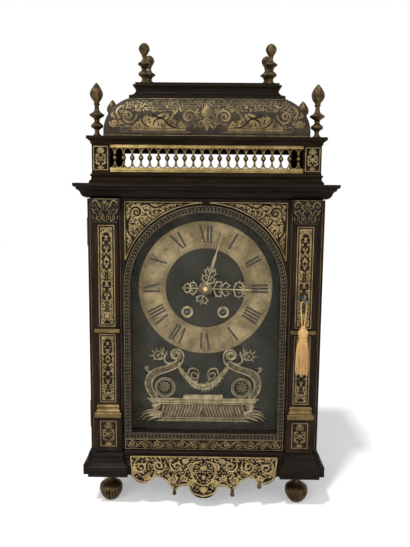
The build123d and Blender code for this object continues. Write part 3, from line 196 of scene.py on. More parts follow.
@dataclass(frozen=True)
class Finish:
    """A surface finish with two tones, their spread and a fine relief.

    Attributes:
        name: the material's name.
        light: the tone of clean or raised places.
        dark: the tone of dull or deep places.
        metallic: 1 for a metal.
        rough: roughness of the light tone.
        rough_dark: roughness of the dark tone.
        scale: size of the pattern; more is finer.
        speckle: how strongly fine flecks add to the dark tone.
        bump: strength of the fine relief.
        specular: specular level of a dielectric.
        grain: the way of a wood's grain, or None.
        sheen: weight of a cloth's sheen.
    """

    name: str
    light: Colour
    dark: Colour
    metallic: float = 0.0
    rough: float = 0.4
    rough_dark: float = 0.6
    scale: float = 60.0
    speckle: float = 0.3
    bump: float = 0.1
    specular: float = 0.5
    grain: Grain | None = None
    sheen: float = 0.0

    def material(self) -> bpy.types.Material:
        """Build the material once and give it again after that."""
        if self.name in bpy.data.materials:
            return bpy.data.materials[self.name]
        made, tree, shader = shaded(self.name, {"Metallic": self.metallic, "Specular IOR Level": self.specular,
                                                "Sheen Weight": self.sheen})
        if self.grain:
            group, values = Groups.grain(), {"Scale": self.scale, "Stretch": self.grain.value}
        else:
            group, values = Groups.tarnish(), {"Scale": self.scale, "Speckle": self.speckle}
        pattern = tree.add("ShaderNodeGroup", values, node_tree=group)
        tone = tree.add("ShaderNodeMix", {6: (*self.light, 1), 7: (*self.dark, 1)}, data_type="RGBA")
        gloss = tree.add("ShaderNodeMapRange", {"To Min": self.rough, "To Max": self.rough_dark})
        relief = tree.add("ShaderNodeBump", {"Strength": self.bump, "Distance": 0.4 * MM})
        tree.link((pattern, "Mask", tone, "Factor"), (pattern, "Mask", gloss, "Value"),
                  (pattern, "Height", relief, "Height"), (tone, 2, shader, "Base Color"),
                  (gloss, "Result", shader, "Roughness"), (relief, "Normal", shader, "Normal"))
        return made


def metal(name: str, light: Colour, dark: Colour, rough: float, rough_dark: float, scale: float, speckle: float,
          bump: float) -> Finish:
    """A metal's finish, by the values of Finish in this order."""
    return Finish(name, light, dark, 1, rough, rough_dark, scale, speckle, bump)


EBONISED = Finish("ebonised_pearwood", (0.026, 0.016, 0.010), (0.010, 0.0065, 0.0045), rough=0.34, rough_dark=0.46,
                  scale=160, bump=0.06, specular=0.04, grain=Grain.UPRIGHT)
EBONISED_ACROSS = Finish("ebonised_moulding", (0.017, 0.0115, 0.0078), (0.007, 0.0048, 0.0036), rough=0.36,
                         rough_dark=0.48, scale=160, bump=0.06, specular=0.045, grain=Grain.ACROSS)
OAK = Finish("oak_carcass", (0.20, 0.12, 0.065), (0.11, 0.065, 0.035), rough=0.6, rough_dark=0.75, scale=190,
             bump=0.3, specular=0.3, grain=Grain.ACROSS)
SHELL = Finish("black_shell", (0.016, 0.0105, 0.0072), (0.0065, 0.0045, 0.0034), rough=0.36, rough_dark=0.48,
               scale=90, speckle=0.2, bump=0.04, specular=0.045)
DOME_SHELL = Finish("worn_shell", (0.052, 0.040, 0.026), (0.020, 0.015, 0.011), rough=0.36, rough_dark=0.5,
                    scale=70, speckle=0.3, bump=0.05, specular=0.12)
INLAY = metal("inlaid_brass", (0.305, 0.23, 0.112), (0.14, 0.103, 0.047), 0.36, 0.55, 80, 0.35, 0.1)
DULL_INLAY = metal("dull_inlaid_brass", (0.225, 0.165, 0.078), (0.085, 0.063, 0.032), 0.4, 0.6, 80, 0.35, 0.1)
GILT = metal("worn_gilt", (0.36, 0.26, 0.105), (0.17, 0.115, 0.042), 0.3, 0.5, 90, 0.3, 0.12)
BAND_BRASS = metal("dull_gilt", (0.20, 0.14, 0.058), (0.09, 0.062, 0.026), 0.34, 0.55, 90, 0.35, 0.15)
BROWN_BRASS = metal("browned_brass", (0.135, 0.088, 0.041), (0.042, 0.027, 0.013), 0.36, 0.6, 130, 0.45, 0.2)
DARK_GILT = metal("darkened_gilt", (0.15, 0.105, 0.055), (0.05, 0.034, 0.018), 0.38, 0.6, 120, 0.45, 0.2)
APRON_GILT = metal("apron_gilt", (0.46, 0.35, 0.165), (0.20, 0.145, 0.065), 0.34, 0.55, 110, 0.35, 0.12)
CAPITAL_GILT = metal("chased_gilt", (0.24, 0.18, 0.10), (0.08, 0.058, 0.03), 0.34, 0.55, 140, 0.4, 0.15)
BEZEL_GILT = metal("bezel_gilt", (0.21, 0.165, 0.10), (0.08, 0.063, 0.037), 0.36, 0.55, 140, 0.4, 0.15)
GALLERY_BLACK = Finish("gallery_black", (0.022, 0.015, 0.010), (0.010, 0.0072, 0.0052), rough=0.8, rough_dark=0.9,
                       scale=160, bump=0.04, specular=0, grain=Grain.ACROSS)
BLACKENED = Finish("blackened_brass", (0.022, 0.017, 0.012), (0.009, 0.007, 0.005), rough=0.5,
                   rough_dark=0.6, scale=120, speckle=0.4, bump=0.15, specular=0.08)
# Darker gilt as painted shade: the mount's sunk channels and the sheet behind its gadroons.
MOUNT_SHADE_GILT = metal("gilt_in_painted_shade", (0.20, 0.16, 0.098), (0.075, 0.06, 0.036), 0.45, 0.6, 160, 0.5, 0.3)
MOUNT_GILT = metal("pale_gilt", (0.50, 0.41, 0.25), (0.22, 0.17, 0.10), 0.36, 0.55, 120, 0.4, 0.15)
HAND_GILT = metal("bright_pale_gilt", (0.50, 0.41, 0.25), (0.26, 0.205, 0.12), 0.3, 0.5, 120, 0.3, 0.12)
HUB_GILT = metal("hub_gilt", (0.25, 0.20, 0.12), (0.12, 0.094, 0.053), 0.42, 0.6, 120, 0.35, 0.15)
RING_BRASS = metal("silvered_brass", (0.385, 0.295, 0.165), (0.175, 0.13, 0.07), 0.42, 0.58, 42, 0.6, 0.12)
WHEEL_BRASS = metal("movement_brass", (0.52, 0.39, 0.17), (0.33, 0.23, 0.09), 0.3, 0.45, 50, 0.2, 0.08)
STEEL = metal("dark_steel", (0.16, 0.155, 0.15), (0.07, 0.066, 0.062), 0.34, 0.5, 90, 0.3, 0.1)
WAX = Finish("engraver_wax", (0.055, 0.045, 0.036), (0.03, 0.025, 0.02), rough=0.55, rough_dark=0.7, scale=120,
             speckle=0.2, bump=0.1, specular=0.2)
DIAL_GROUND = Finish("dial_ground", (0.046, 0.043, 0.034), (0.024, 0.023, 0.018), rough=0.75, rough_dark=0.9,
                     scale=34, speckle=0.12, bump=0.1, specular=0.08)
SILK = Finish("silk_thread", (0.74, 0.435, 0.155), (0.50, 0.26, 0.075), rough=0.6, rough_dark=0.8, scale=300,
              speckle=0.4, bump=0.3, specular=0.2, sheen=0.4)


def clear_glass() -> bpy.types.Material:
    """Old window glass: clear, with a faint ripple."""
    made, tree, shader = shaded("old_glass", {"Base Color": (0.97, 0.985, 0.98, 1), "Transmission Weight": 1,
                                              "Roughness": 0, "IOR": 1.08})
    place = tree.add("ShaderNodeTexCoord")
    ripple = tree.add("ShaderNodeTexNoise", {"Scale": 14.0})
    relief = tree.add("ShaderNodeBump", {"Strength": 0.02, "Distance": MM})
    tree.link((place, "Object", ripple, "Vector"), (ripple, "Fac", relief, "Height"),
              (relief, "Normal", shader, "Normal"))
    return made


# ---- bench work


def clear() -> None:
    """Leave nothing selected and be in object mode."""
    if bpy.context.object and bpy.context.object.mode != "OBJECT":
        bpy.ops.object.mode_set(mode="OBJECT")
    bpy.ops.object.select_all(action="DESELECT")


def pick(piece: Piece) -> None:
    """Select one piece alone and make it active."""
    clear()
    piece.select_set(True)
    bpy.context.view_layer.objects.active = piece


def link(name: str, data: bpy.types.ID) -> Piece:
    """A new object in the scene with this data."""
    piece = bpy.data.objects.new(name, data)
    bpy.context.scene.collection.objects.link(piece)
    return piece


def new(name: str, points: Sequence[Sequence[float]], faces: Sequence[Sequence[int]] = (),
        edges: Sequence[Sequence[int]] = ()) -> Piece:
    """A new mesh object from points in metres."""
    mesh = bpy.data.meshes.new(name)
    mesh.from_pydata([tuple(point) for point in points], list(edges), list(faces))
    mesh.update()
    return link(name, mesh)


def rod(name: str, radius: float, roundness: int) -> bpy.types.Curve:
    """A new curve drawn as a round rod of this radius, in millimetres."""
    curve = bpy.data.curves.new(name, "CURVE")
    curve.dimensions = "3D"
    curve.bevel_depth = radius * MM
    curve.bevel_resolution = roundness
    curve.use_fill_caps = True
    return curve


def meshed(name: str, curve: bpy.types.Curve) -> Piece:
    """A new object with the mesh of a curve."""
    pick(link(name, curve))
    bpy.ops.object.convert(target="MESH")
    return bpy.context.view_layer.objects.active


def apply(piece: Piece, kind: str, **settings: object) -> None:
    """Add a modifier with its settings and apply it."""
    pick(piece)
    modifier = piece.modifiers.new(kind.title(), kind)
    for key, value in settings.items():
        setattr(modifier, key, value)
    bpy.ops.object.modifier_apply(modifier=modifier.name)


def edit(piece: Piece, *steps: Callable[[], object]) -> Piece:
    """Do steps on the whole of a piece in edit mode."""
    pick(piece)
    bpy.ops.object.mode_set(mode="EDIT")
    bpy.ops.mesh.select_all(action="SELECT")
    for step in steps:
        step()
    bpy.ops.object.mode_set(mode="OBJECT")
    return piece


def outward() -> None:
    """Point the selected faces outwards."""
    bpy.ops.mesh.normals_make_consistent(inside=False)


def smooth(piece: Piece, angle: float) -> Piece:
    """Shade a piece smooth below an angle in degrees."""
    pick(piece)
    bpy.ops.object.shade_smooth_by_angle(angle=math.radians(angle))
    return piece


def tidy(piece: Piece, angle: float) -> Piece:
    """Merge doubles, point faces outwards and shade smooth below an angle."""
    edit(piece, lambda: bpy.ops.mesh.remove_doubles(threshold=WELD), outward)
    return smooth(piece, angle)


def lathe(name: str, profile: Sequence[Point], steps: int) -> Piece:
    """Turn a profile of radius and height, in millimetres, about Z at the origin."""
    points = [(radius * MM, 0, height * MM) for radius, height in profile]
    piece = new(name, points, edges=[(i, i + 1) for i in range(len(points) - 1)])
    apply(piece, "SCREW", steps=steps, render_steps=steps, axis="Z", use_merge_vertices=True,
          merge_threshold=0.01 * MM)
    return tidy(piece, 50)


def smooth_profile(profile: Sequence[Point], per_span: int) -> list[Point]:
    """Points of a smooth curve through a profile."""
    return [(max(x, 0), y) for x, y in flow(profile, per_span)]


def plate(name: str, outline: Sequence[Point], thick: float) -> Piece:
    """A flat plate in local x, z with this thickness behind local y of 0, all in millimetres."""
    points = [(x * MM, 0, z * MM) for x, z in outline]
    piece = new(name, points, faces=[list(range(len(points)))])
    edit(piece, lambda: bpy.ops.mesh.extrude_region_move(TRANSFORM_OT_translate={"value": (0, thick * MM, 0)}))
    return tidy(piece, 30)


def repeat(name: str, pattern: Piece, places: Iterable[Matrix]) -> Piece:
    """One piece made of a copy of a pattern at each place; the pattern is used up."""
    points, faces = [], []
    first = [vertex.co.copy() for vertex in pattern.data.vertices]
    polygons = [tuple(face.vertices) for face in pattern.data.polygons]
    for place in places:
        start = len(points)
        points.extend(place @ point for point in first)
        faces.extend([start + index for index in face] for face in polygons)
    piece = new(name, points, faces)
    bpy.data.objects.remove(pattern)
    for face in piece.data.polygons:
        face.use_smooth = True
    return smooth(piece, 45)


def facing(x: float, y: float, z: float) -> Matrix:
    """The place, in millimetres, of a turned piece whose axis points at the viewer."""
    return Matrix.Translation(Vector((x, y, z)) * MM) @ Matrix.Rotation(math.radians(90), 4, "X")


def corners(x: float, y: float, z: float) -> list[Matrix]:
    """The four places at plus and minus x and y, in millimetres."""
    return [Matrix.Translation(Vector((a * x, b * y, z)) * MM) for a in SIDES for b in SIDES]


def join(name: str, pieces: Sequence[Piece]) -> Piece:
    """Join pieces into one."""
    clear()
    for piece in pieces:
        piece.select_set(True)
    bpy.context.view_layer.objects.active = pieces[0]
    bpy.ops.object.join()
    joined = bpy.context.view_layer.objects.active
    joined.name = name
    joined.data.name = name
    return joined


def move(piece: Piece, place: Matrix | Vector) -> Piece:
    """Put a piece in place, in its mesh."""
    piece.data.transform(Matrix.Translation(place) if isinstance(place, Vector) else place)
    return piece


def press(piece: Piece, lobe: Callable[[float, float], float]) -> Piece:
    """Chase a turned piece: scale its radius by a rule of height, in millimetres, and angle."""
    for vertex in piece.data.vertices:
        x, y, z = vertex.co
        share = lobe(z / MM, math.atan2(y, x))
        vertex.co = (x * share, y * share, z)
    piece.data.update()
    return piece


def dress(piece: Piece, body: str, finish: Finish, slot: str, *replaced: str) -> Piece:
    """Give a piece its material and body, and hide the nodes that it stands for."""
    piece.data.materials.clear()
    piece.data.materials.append(finish.material())
    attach(piece, body)
    if replaced:
        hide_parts(*replaced)
    LOG.info("%s rides on %s", piece.name, body)
    return piece


# ---- drawing of ornament


def polar(radius: float, angle: float, x: float = 0, y: float = 0) -> Point:
    """The point at a radius and an angle, in radians, round x, y."""
    return x + radius * math.cos(angle), y + radius * math.sin(angle)


def upright(y: float) -> Rule:
    """A drawing laid on the upright plane at this depth, standing proud towards the front."""
    return lambda x, z, height: Vector((x, y - height, z))


def flow(points: Sequence[Point], per_span: int) -> list[Point]:
    """A smooth line through points.

    Args:
        points: the points to pass through.
        per_span: points on each stretch.

    Returns:
        The points of the line.
    """
    line: list[Point] = []
    ends = [points[0], *points, points[-1]]
    for a, b, c, d in zip(ends, ends[1:], ends[2:], ends[3:]):
        for step in range(per_span):
            t = step / per_span
            line.append(tuple(
                0.5 * (2 * b[k] + (c[k] - a[k]) * t + (2 * a[k] - 5 * b[k] + 4 * c[k] - d[k]) * t * t
                       + (3 * b[k] - a[k] - 3 * c[k] + d[k]) * t ** 3) for k in (0, 1)))
    line.append(tuple(points[-1]))
    return line


@dataclass
class Stroke:
    """One stroke of a drawn ornament: a line with a half width at each point, in millimetres."""

    line: list[Point]
    widths: list[float]

    def mirrored(self, axis: float) -> Stroke:
        """The same stroke on the other side of an upright axis."""
        return Stroke([(2 * axis - x, y) for x, y in self.line], list(self.widths))

    def moved(self, x: float, y: float, turn: float, size: float) -> Stroke:
        """The stroke turned by degrees, scaled and moved."""
        c, s = math.cos(math.radians(turn)) * size, math.sin(math.radians(turn)) * size
        return Stroke([(x + c * px - s * py, y + s * px + c * py) for px, py in self.line],
                      [width * size for width in self.widths])


class Ornament:
    """A drawing in strokes, as an engraver lays it out."""

    def __init__(self) -> None:
        """Start with an empty drawing."""
        self.strokes: list[Stroke] = []

    def add(self, line: Sequence[Point], widths: Sequence[float]) -> Ornament:
        """Add a line; the widths given are spread evenly along it."""
        count, spans = len(line), len(widths) - 1
        spread = []
        for index in range(count):
            at = index / max(count - 1, 1) * spans
            low = min(int(at), spans - 1) if spans else 0
            share = at - low
            spread.append(widths[low] * (1 - share) + widths[min(low + 1, spans)] * share)
        self.strokes.append(Stroke(list(line), spread))
        return self

    def curve(self, points: Sequence[Point], widths: Sequence[float], per_span: int = 5) -> Ornament:
        """Add a smooth stroke through points."""
        return self.add(flow(points, per_span), widths)

    def scroll(self, x: float, y: float, outer: float, inner: float, start: float, turns: float,
               widths: Sequence[float], hand: Hand = Hand.LEFT, bud: float = 0) -> Ornament:
        """Add a spiral that winds in to a bud.

        Args:
            x: middle of the spiral.
            y: middle of the spiral.
            outer: first radius.
            inner: last radius.
            start: first angle, in degrees.
            turns: number of turns.
            widths: half widths along it.
            hand: the way it winds.
            bud: radius of the bud in its middle.

        Returns:
            The drawing.
        """
        count = max(10, int(18 * turns))
        line = []
        for step in range(count + 1):
            t = step / count
            line.append(polar(outer * (inner / outer) ** t, math.radians(start) + hand.value * TAU * turns * t, x, y))
        self.add(line, widths)
        return self.dot(*line[-1], bud) if bud else self

    def leaf(self, x: float, y: float, angle: float, length: float, width: float, bend: float = 0,
             count: int = 7) -> Ornament:
        """Add a leaf from its stalk, which bends by this many degrees along its length."""
        line, heading, at = [(x, y)], math.radians(angle - bend / 2), (x, y)
        for _ in range(count):
            heading += math.radians(bend) / count
            at = (at[0] + math.cos(heading) * length / count, at[1] + math.sin(heading) * length / count)
            line.append(at)
        widths = [width * (0.12 + 0.88 * math.sin(math.pi * min(1, t * 1.12) ** 0.8)) for t in
                  (step / count for step in range(count))] + [width * 0.05]
        self.strokes.append(Stroke(line, widths))
        return self

    def twins(self, rows: Iterable[tuple[float, float, float, float]], width: float, bend: float, turn: float,
              share: float, thin: float) -> Ornament:
        """Add pairs of leaves on one stalk.

        Args:
            rows: place, angle and length of each pair.
            width: half width of the first leaf.
            bend: bend of the first leaf.
            turn: angle from the first leaf to the second.
            share: length of the second leaf as a share of the first.
            thin: half width of the second leaf.

        Returns:
            The drawing.
        """
        for x, y, angle, length in rows:
            self.leaf(x, y, angle, length, width, bend).leaf(x, y, angle + turn, length * share, thin, 30)
        return self

    def dot(self, x: float, y: float, radius: float) -> Ornament:
        """Add a round dot."""
        steps = (-1, -0.7, -0.3, 0, 0.3, 0.7, 1)
        self.strokes.append(Stroke([(x + radius * 0.9 * t, y) for t in steps],
                                   [radius * math.sqrt(max(1 - t * t, FINEST)) for t in steps]))
        return self

    def ring(self, radius: float, width: float) -> Ornament:
        """Add a full circle round 0, 0."""
        steps = 96
        return self.add([polar(radius, TAU * i / steps) for i in range(steps + 1)], [width, width])

    def thinned(self, share: float) -> Ornament:
        """Draw every stroke so far at this share of its width."""
        for stroke in self.strokes:
            stroke.widths = [width * share for width in stroke.widths]
        return self

    def bar(self, start: Point, end: Point, width: float) -> Ornament:
        """Add a straight line."""
        return self.add([start, ((start[0] + end[0]) / 2, (start[1] + end[1]) / 2), end], [width, width])

    def frame(self, low: Point, high: Point, width: float) -> Ornament:
        """Add the four lines of a border."""
        (x0, y0), (x1, y1) = low, high
        corners = ((x0, y0), (x1, y0), (x1, y1), (x0, y1), (x0, y0))
        for start, end in zip(corners, corners[1:]):
            self.bar(start, end, width)
        return self

    def place(self, other: Ornament, x: float = 0, y: float = 0, turn: float = 0,
              size: float = 1) -> Ornament:
        """Add another drawing, turned, scaled and moved."""
        self.strokes.extend(stroke.moved(x, y, turn, size) for stroke in other.strokes)
        return self

    def pair(self, other: Ornament, axis: float = 0) -> Ornament:
        """Add another drawing and its mirror image about an upright axis."""
        self.strokes.extend(other.strokes)
        self.strokes.extend(stroke.mirrored(axis) for stroke in other.strokes)
        return self

    def fill(self, inside: Callable[[float, float], bool], low: Point, high: Point, step: float, length: float,
             width: float, gap: float, seed: int) -> Ornament:
        """Fill the open ground between the strokes with small curled leaves.

        Args:
            inside: tells whether a place is on the ground.
            low: the ground's lower left corner.
            high: the ground's upper right corner.
            step: distance between leaves.
            length: length of a leaf.
            width: half width of a leaf.
            gap: least distance from a leaf's middle to a stroke that is there already.
            seed: seed of the scatter.

        Returns:
            The drawing.
        """
        chance = random.Random(seed)
        taken = [(x, y, width) for stroke in self.strokes for (x, y), width in zip(stroke.line, stroke.widths)]
        across, rows = int((high[0] - low[0]) / step) + 1, int((high[1] - low[1]) / step) + 1
        for row in range(rows):
            for column in range(across):
                x = low[0] + (column + 0.5 * (row % 2)) * step + chance.uniform(-0.25, 0.25) * step
                y = low[1] + row * step + chance.uniform(-0.25, 0.25) * step
                turn = chance.uniform(0, 360)
                bend = chance.choice((-70, 70))
                if not inside(x, y) or any((x - a) ** 2 + (y - b) ** 2 < (gap + w) ** 2 for a, b, w in taken):
                    continue
                back = math.radians(turn)
                self.leaf(x - math.cos(back) * length / 2, y - math.sin(back) * length / 2, turn, length, width,
                          bend, 5)
        return self

    def cut(self, name: str, height: float, lay: Rule, sides: int = 1) -> Piece:
        """Make the drawing as a mesh of rounded strokes.

        Args:
            name: the piece's name.
            height: how far the widest stroke stands up, as a share of its half width.
            lay: where a point of the drawing, with its height, goes in space, in millimetres.
            sides: roundness of the strokes; 0 is enough for flat inlay.

        Returns:
            The piece.
        """
        curve = rod(name, 1, sides)
        for stroke in self.strokes:
            spline = curve.splines.new("POLY")
            spline.points.add(len(stroke.line) - 1)
            for point, (x, y), width in zip(spline.points, stroke.line, stroke.widths):
                point.co = (x * MM, 0, y * MM, 1)
                point.radius = max(width, FINEST)
        piece = meshed(name, curve)
        for vertex in piece.data.vertices:
            x, y, z = vertex.co / MM
            vertex.co = lay(x, z, -y * height) * MM
        piece.data.update()
        return smooth(edit(piece, outward), 60)

    def fit(self, name: str, body: str, finish: Finish, height: float, lay: Rule, *replaced: str, sides: int = 1,
            slot: str = "gilt_brass") -> None:
        """Cut the drawing as a piece and give it its body, finish and the nodes that it stands for."""
        dress(self.cut(name, height, lay, sides), body, finish, slot, *replaced)


def tendril(radius: float, hand: Hand, start: float, weight: float) -> Ornament:
    """A scroll with leaves on its outside and a flower in its middle."""
    made = Ornament()
    made.scroll(0, 0, radius, radius * 0.24, start, 1.45, [weight, weight * 1.35, weight * 0.7], hand,
                bud=radius * 0.2)
    for share in (0.12, 0.3, 0.5, 0.68):
        angle = math.radians(start) + hand.value * TAU * 1.45 * share
        at = radius * (0.24 ** share)
        x, y = at * math.cos(angle), at * math.sin(angle)
        heading = math.degrees(angle) + hand.value * 52
        made.leaf(x, y, heading, radius * (0.62 - 0.3 * share), weight * 1.25, 46 * hand.value)
        made.leaf(x, y, heading + 150 * hand.value, radius * 0.26, weight, -30 * hand.value)
    return made


def vine(length: float, height: float, waves: int, weight: float) -> Ornament:
    """A running scroll from x = 0: a waved stem with a tendril in each hollow."""
    made, step = Ornament(), length / waves
    stem = []
    for index in range(waves * 2 + 1):
        side = (-1) ** (index // 2) if index % 2 else 0
        stem.append((index * step / 2, side * height * 0.36))
    made.curve(stem, [weight, weight * 1.2, weight], 7)
    for index in range(waves):
        side = (-1) ** index
        hand = Hand.LEFT if side > 0 else Hand.RIGHT
        radius = min(step * 0.36, height * 0.34)
        made.place(tendril(radius, hand, 200.0 * side, weight), (index + 0.56) * step,
                   -side * height * 0.06)
        made.leaf(index * step + step * 0.1, side * height * 0.12, 55 * side, height * 0.34, weight * 1.3,
                  40 * side)
        made.leaf(index * step + step * 0.9, side * height * 0.14, 118 * side, height * 0.3, weight * 1.2,
                  -40 * side)
    return made


def palmette(width: float, height: float, weight: float) -> Ornament:
    """A fan of leaves that opens upwards from 0, 0, with two scrolls at its foot."""
    made = Ornament()
    for share in (-1, -0.6, -0.25, 0.25, 0.6, 1):
        made.leaf(0, 0, 90 - share * 62, height * (1 - 0.34 * abs(share)), weight, -share * 36)
    made.leaf(0, 0, 90, height, weight * 1.25)
    half = Ornament().scroll(width * 0.27, 0, width * 0.22, width * 0.06, 200, 1.1, [weight * 0.7, weight],
                             Hand.LEFT, width * 0.05)
    return made.pair(half)


def husks(foot: float, height: float, inner: float, weight: float) -> Ornament:
    """Leafy husks one over the other."""
    half, count = Ornament(), 3
    step = height / count
    for index in range(count):
        z = foot + index * step
        half.leaf(0.2, z, 40, inner * (0.95 - 0.2 * index), weight * 1.1, 60)
        half.leaf(0.2, z + step * 0.3, 74, step * 1, weight, 30)
    return Ornament().pair(half)


def lyre(foot: float, height: float, inner: float, weight: float) -> Ornament:
    """Two S-scrolls back to back, tied in the middle, with leaves on their backs."""
    half, w, h = Ornament(), inner, height
    half.curve([(w * 0.16, foot + h * 0.03), (w * 0.62, foot + h * 0.1), (w * 0.72, foot + h * 0.3),
                (w * 0.22, foot + h * 0.5), (w * 0.2, foot + h * 0.62), (w * 0.66, foot + h * 0.76),
                (w * 0.6, foot + h * 0.93), (w * 0.24, foot + h * 0.9)],
               [weight, weight * 1.3, weight, weight * 1.2, weight, weight * 1.3, weight * 0.8], 4)
    half.dot(w * 0.34, foot + h * 0.17, weight * 1.3).dot(w * 0.36, foot + h * 0.83, weight * 1.2)
    for z, turn in ((0.22, 12), (0.36, 58), (0.5, 20), (0.66, 14), (0.8, 40)):
        half.leaf(w * 0.6, foot + h * z, turn, w * 0.42, weight, 50)
    return Ornament().pair(half).leaf(0, foot + h * 0.52, 90, h * 0.3, weight * 1.3).leaf(
        0, foot + h * 0.48, -90, h * 0.26, weight * 1.2)


def lozenge(foot: float, height: float, inner: float, weight: float) -> Ornament:
    """A strapwork lozenge round a flower, with leaves on its corners."""
    half, w, h = Ornament(), inner, height
    half.curve([(0.1, foot + h * 0.04), (w * 0.3, foot + h * 0.2), (w * 0.82, foot + h * 0.34),
                (w * 0.58, foot + h * 0.5), (w * 0.82, foot + h * 0.66), (w * 0.3, foot + h * 0.8),
                (0.1, foot + h * 0.96)], [weight * 0.8, weight * 1.2, weight, weight * 1.2, weight * 0.8], 5)
    for z, turn in ((0.16, 30), (0.84, -30), (0.26, 64), (0.74, -64)):
        half.leaf(w * 0.38, foot + h * z, turn, w * 0.5, weight, 30 if turn > 0 else -30)
    made = Ornament().pair(half)
    for turn in (45, 135, 225, 315, 90, 270):
        made.leaf(0, foot + h * 0.5, turn, min(w * 0.42, h * 0.17), weight * 1.1, 0, 5)
    return made


def candelabrum(width: float, height: float, weight: float) -> Ornament:
    """An upright arabesque from z = 0 to its height: palmettes, husks, S-scrolls and a lozenge."""
    made, inner = Ornament(), width / 2 - 0.6
    shares = (("fan", 0.12), ("husks", 0.13), ("lyre", 0.2), ("husks", 0.1), ("lozenge", 0.2), ("lyre", 0.17),
              ("fan", 0.08)) if height > 60 else (("fan", 0.2), ("lyre", 0.5), ("husks", 0.3))
    z = 0.0
    for kind, share in shares:
        h = height * share
        if kind == "husks":
            made.place(husks(z + 0.6, h - 0.8, inner, weight))
        elif kind == "lyre":
            made.place(lyre(z, h, inner, weight))
        elif kind == "lozenge":
            made.place(lozenge(z, h, inner, weight))
        else:
            for turn in (22, 56, 90, 124, 158):
                made.leaf(0, z + 0.5, turn, min(h * 0.95, inner * 0.95), weight * 1.2, (90 - turn) * 0.4)
        z += h
    return made


# ---- the studio


@dataclass
class Studio:
    """Camera, lamps and floor at the photograph's viewing angle."""

    eye: tuple[float, float, float] = (5.8, -751.1, 395.4)
    lens: float = 35.93
    pitch: float = 7.18
    yaw: float = -0.53
    roll: float = 0.51

    def camera(self) -> None:
        """Make the camera where the photographer stood."""
        data = bpy.data.cameras.new("view")
        data.sensor_width = 36.0
        data.lens = self.lens
        data.clip_start = 0.01
        pitch, yaw, roll = (math.radians(angle) for angle in (self.pitch, self.yaw, self.roll))
        ahead = Vector((math.sin(yaw) * math.cos(pitch), math.cos(yaw) * math.cos(pitch), -math.sin(pitch)))
        right = Vector((math.cos(yaw), -math.sin(yaw), 0))
        up = right.cross(ahead)
        side = math.cos(roll) * right + math.sin(roll) * up
        top = -math.sin(roll) * right + math.cos(roll) * up
        turn = Matrix((side, top, -ahead)).transposed().to_4x4()
        camera = link("view", data)
        camera.matrix_world = Matrix.Translation(Vector(self.eye) * MM) @ turn
        bpy.context.scene.camera = camera

    def lamp(self, name: str, kind: str, place: Place, aim: Place, energy: float, **settings: object) -> None:
        """Hang one lamp, in metres and watts, with its own settings."""
        data = bpy.data.lights.new(name, kind)
        data.energy = energy
        for key, value in settings.items():
            setattr(data, key, value)
        lamp = link(name, data)
        lamp.location = place
        lamp.rotation_euler = (Vector(aim) - Vector(place)).to_track_quat("-Z", "Y").to_euler()

    def light(self) -> None:
        """Light the clock from high on the left, softly from in front, with a fill and a plain world."""
        self.lamp("key", "SUN", (0, 0, 0), (0.27, 0.44, -1), 1.75, angle=math.radians(5))
        self.lamp("front", "AREA", (-0.9, -1.7, 1), (0, 0, 0.3), 16, shape="SQUARE", size=1.3)
        self.lamp("fill", "AREA", (1.2, -1.4, 0.7), (0, 0, 0.3), 7, shape="SQUARE", size=1.4)
        world = bpy.data.worlds.new("studio")
        bpy.context.scene.world = world
        world.use_nodes = True
        tree = Wiring(world.node_tree)
        back = world.node_tree.nodes["Background"]
        back.inputs["Color"].default_value = (1, 1, 1, 1)
        seen = tree.add("ShaderNodeLightPath")
        first, second = (tree.add("ShaderNodeMath", operation="MAXIMUM") for _ in range(2))
        strength = tree.add("ShaderNodeMapRange", {"To Min": 0.38, "To Max": 1.0})
        tree.link((seen, "Is Camera Ray", first, 0), (seen, "Is Glossy Ray", first, 1), (first, 0, second, 0),
                  (seen, "Is Transmission Ray", second, 1), (second, 0, strength, "Value"),
                  (strength, "Result", back, "Strength"))

    def floor(self) -> None:
        """Lay the pale floor, which keeps the clock's shadow and runs out to white."""
        clear()
        bpy.ops.mesh.primitive_plane_add(size=8, location=(0, 0, -0.5 * MM))
        floor = bpy.context.object
        floor.name = "floor"
        made, tree, shader = shaded("studio_floor", {
            "Base Color": (0.86, 0.86, 0.86, 1), "Roughness": 0.9, "Specular IOR Level": 0,
            "Emission Color": (1, 1, 1, 1)})
        seen = tree.add("ShaderNodeLightPath")
        most = tree.add("ShaderNodeMath", operation="MAXIMUM")
        dim = tree.add("ShaderNodeMath", {1: 0.30}, operation="MULTIPLY")
        tree.link((seen, "Is Camera Ray", most, 0), (seen, "Is Glossy Ray", most, 1), (most, 0, dim, 0),
                  (dim, 0, shader, "Emission Strength"))
        floor.data.materials.append(made)

    def build(self) -> None:
        """Set up the whole studio."""
        bpy.context.scene.view_settings.view_transform = "Standard"
        self.camera()
        self.light()
        self.floor()


# ---- tassel


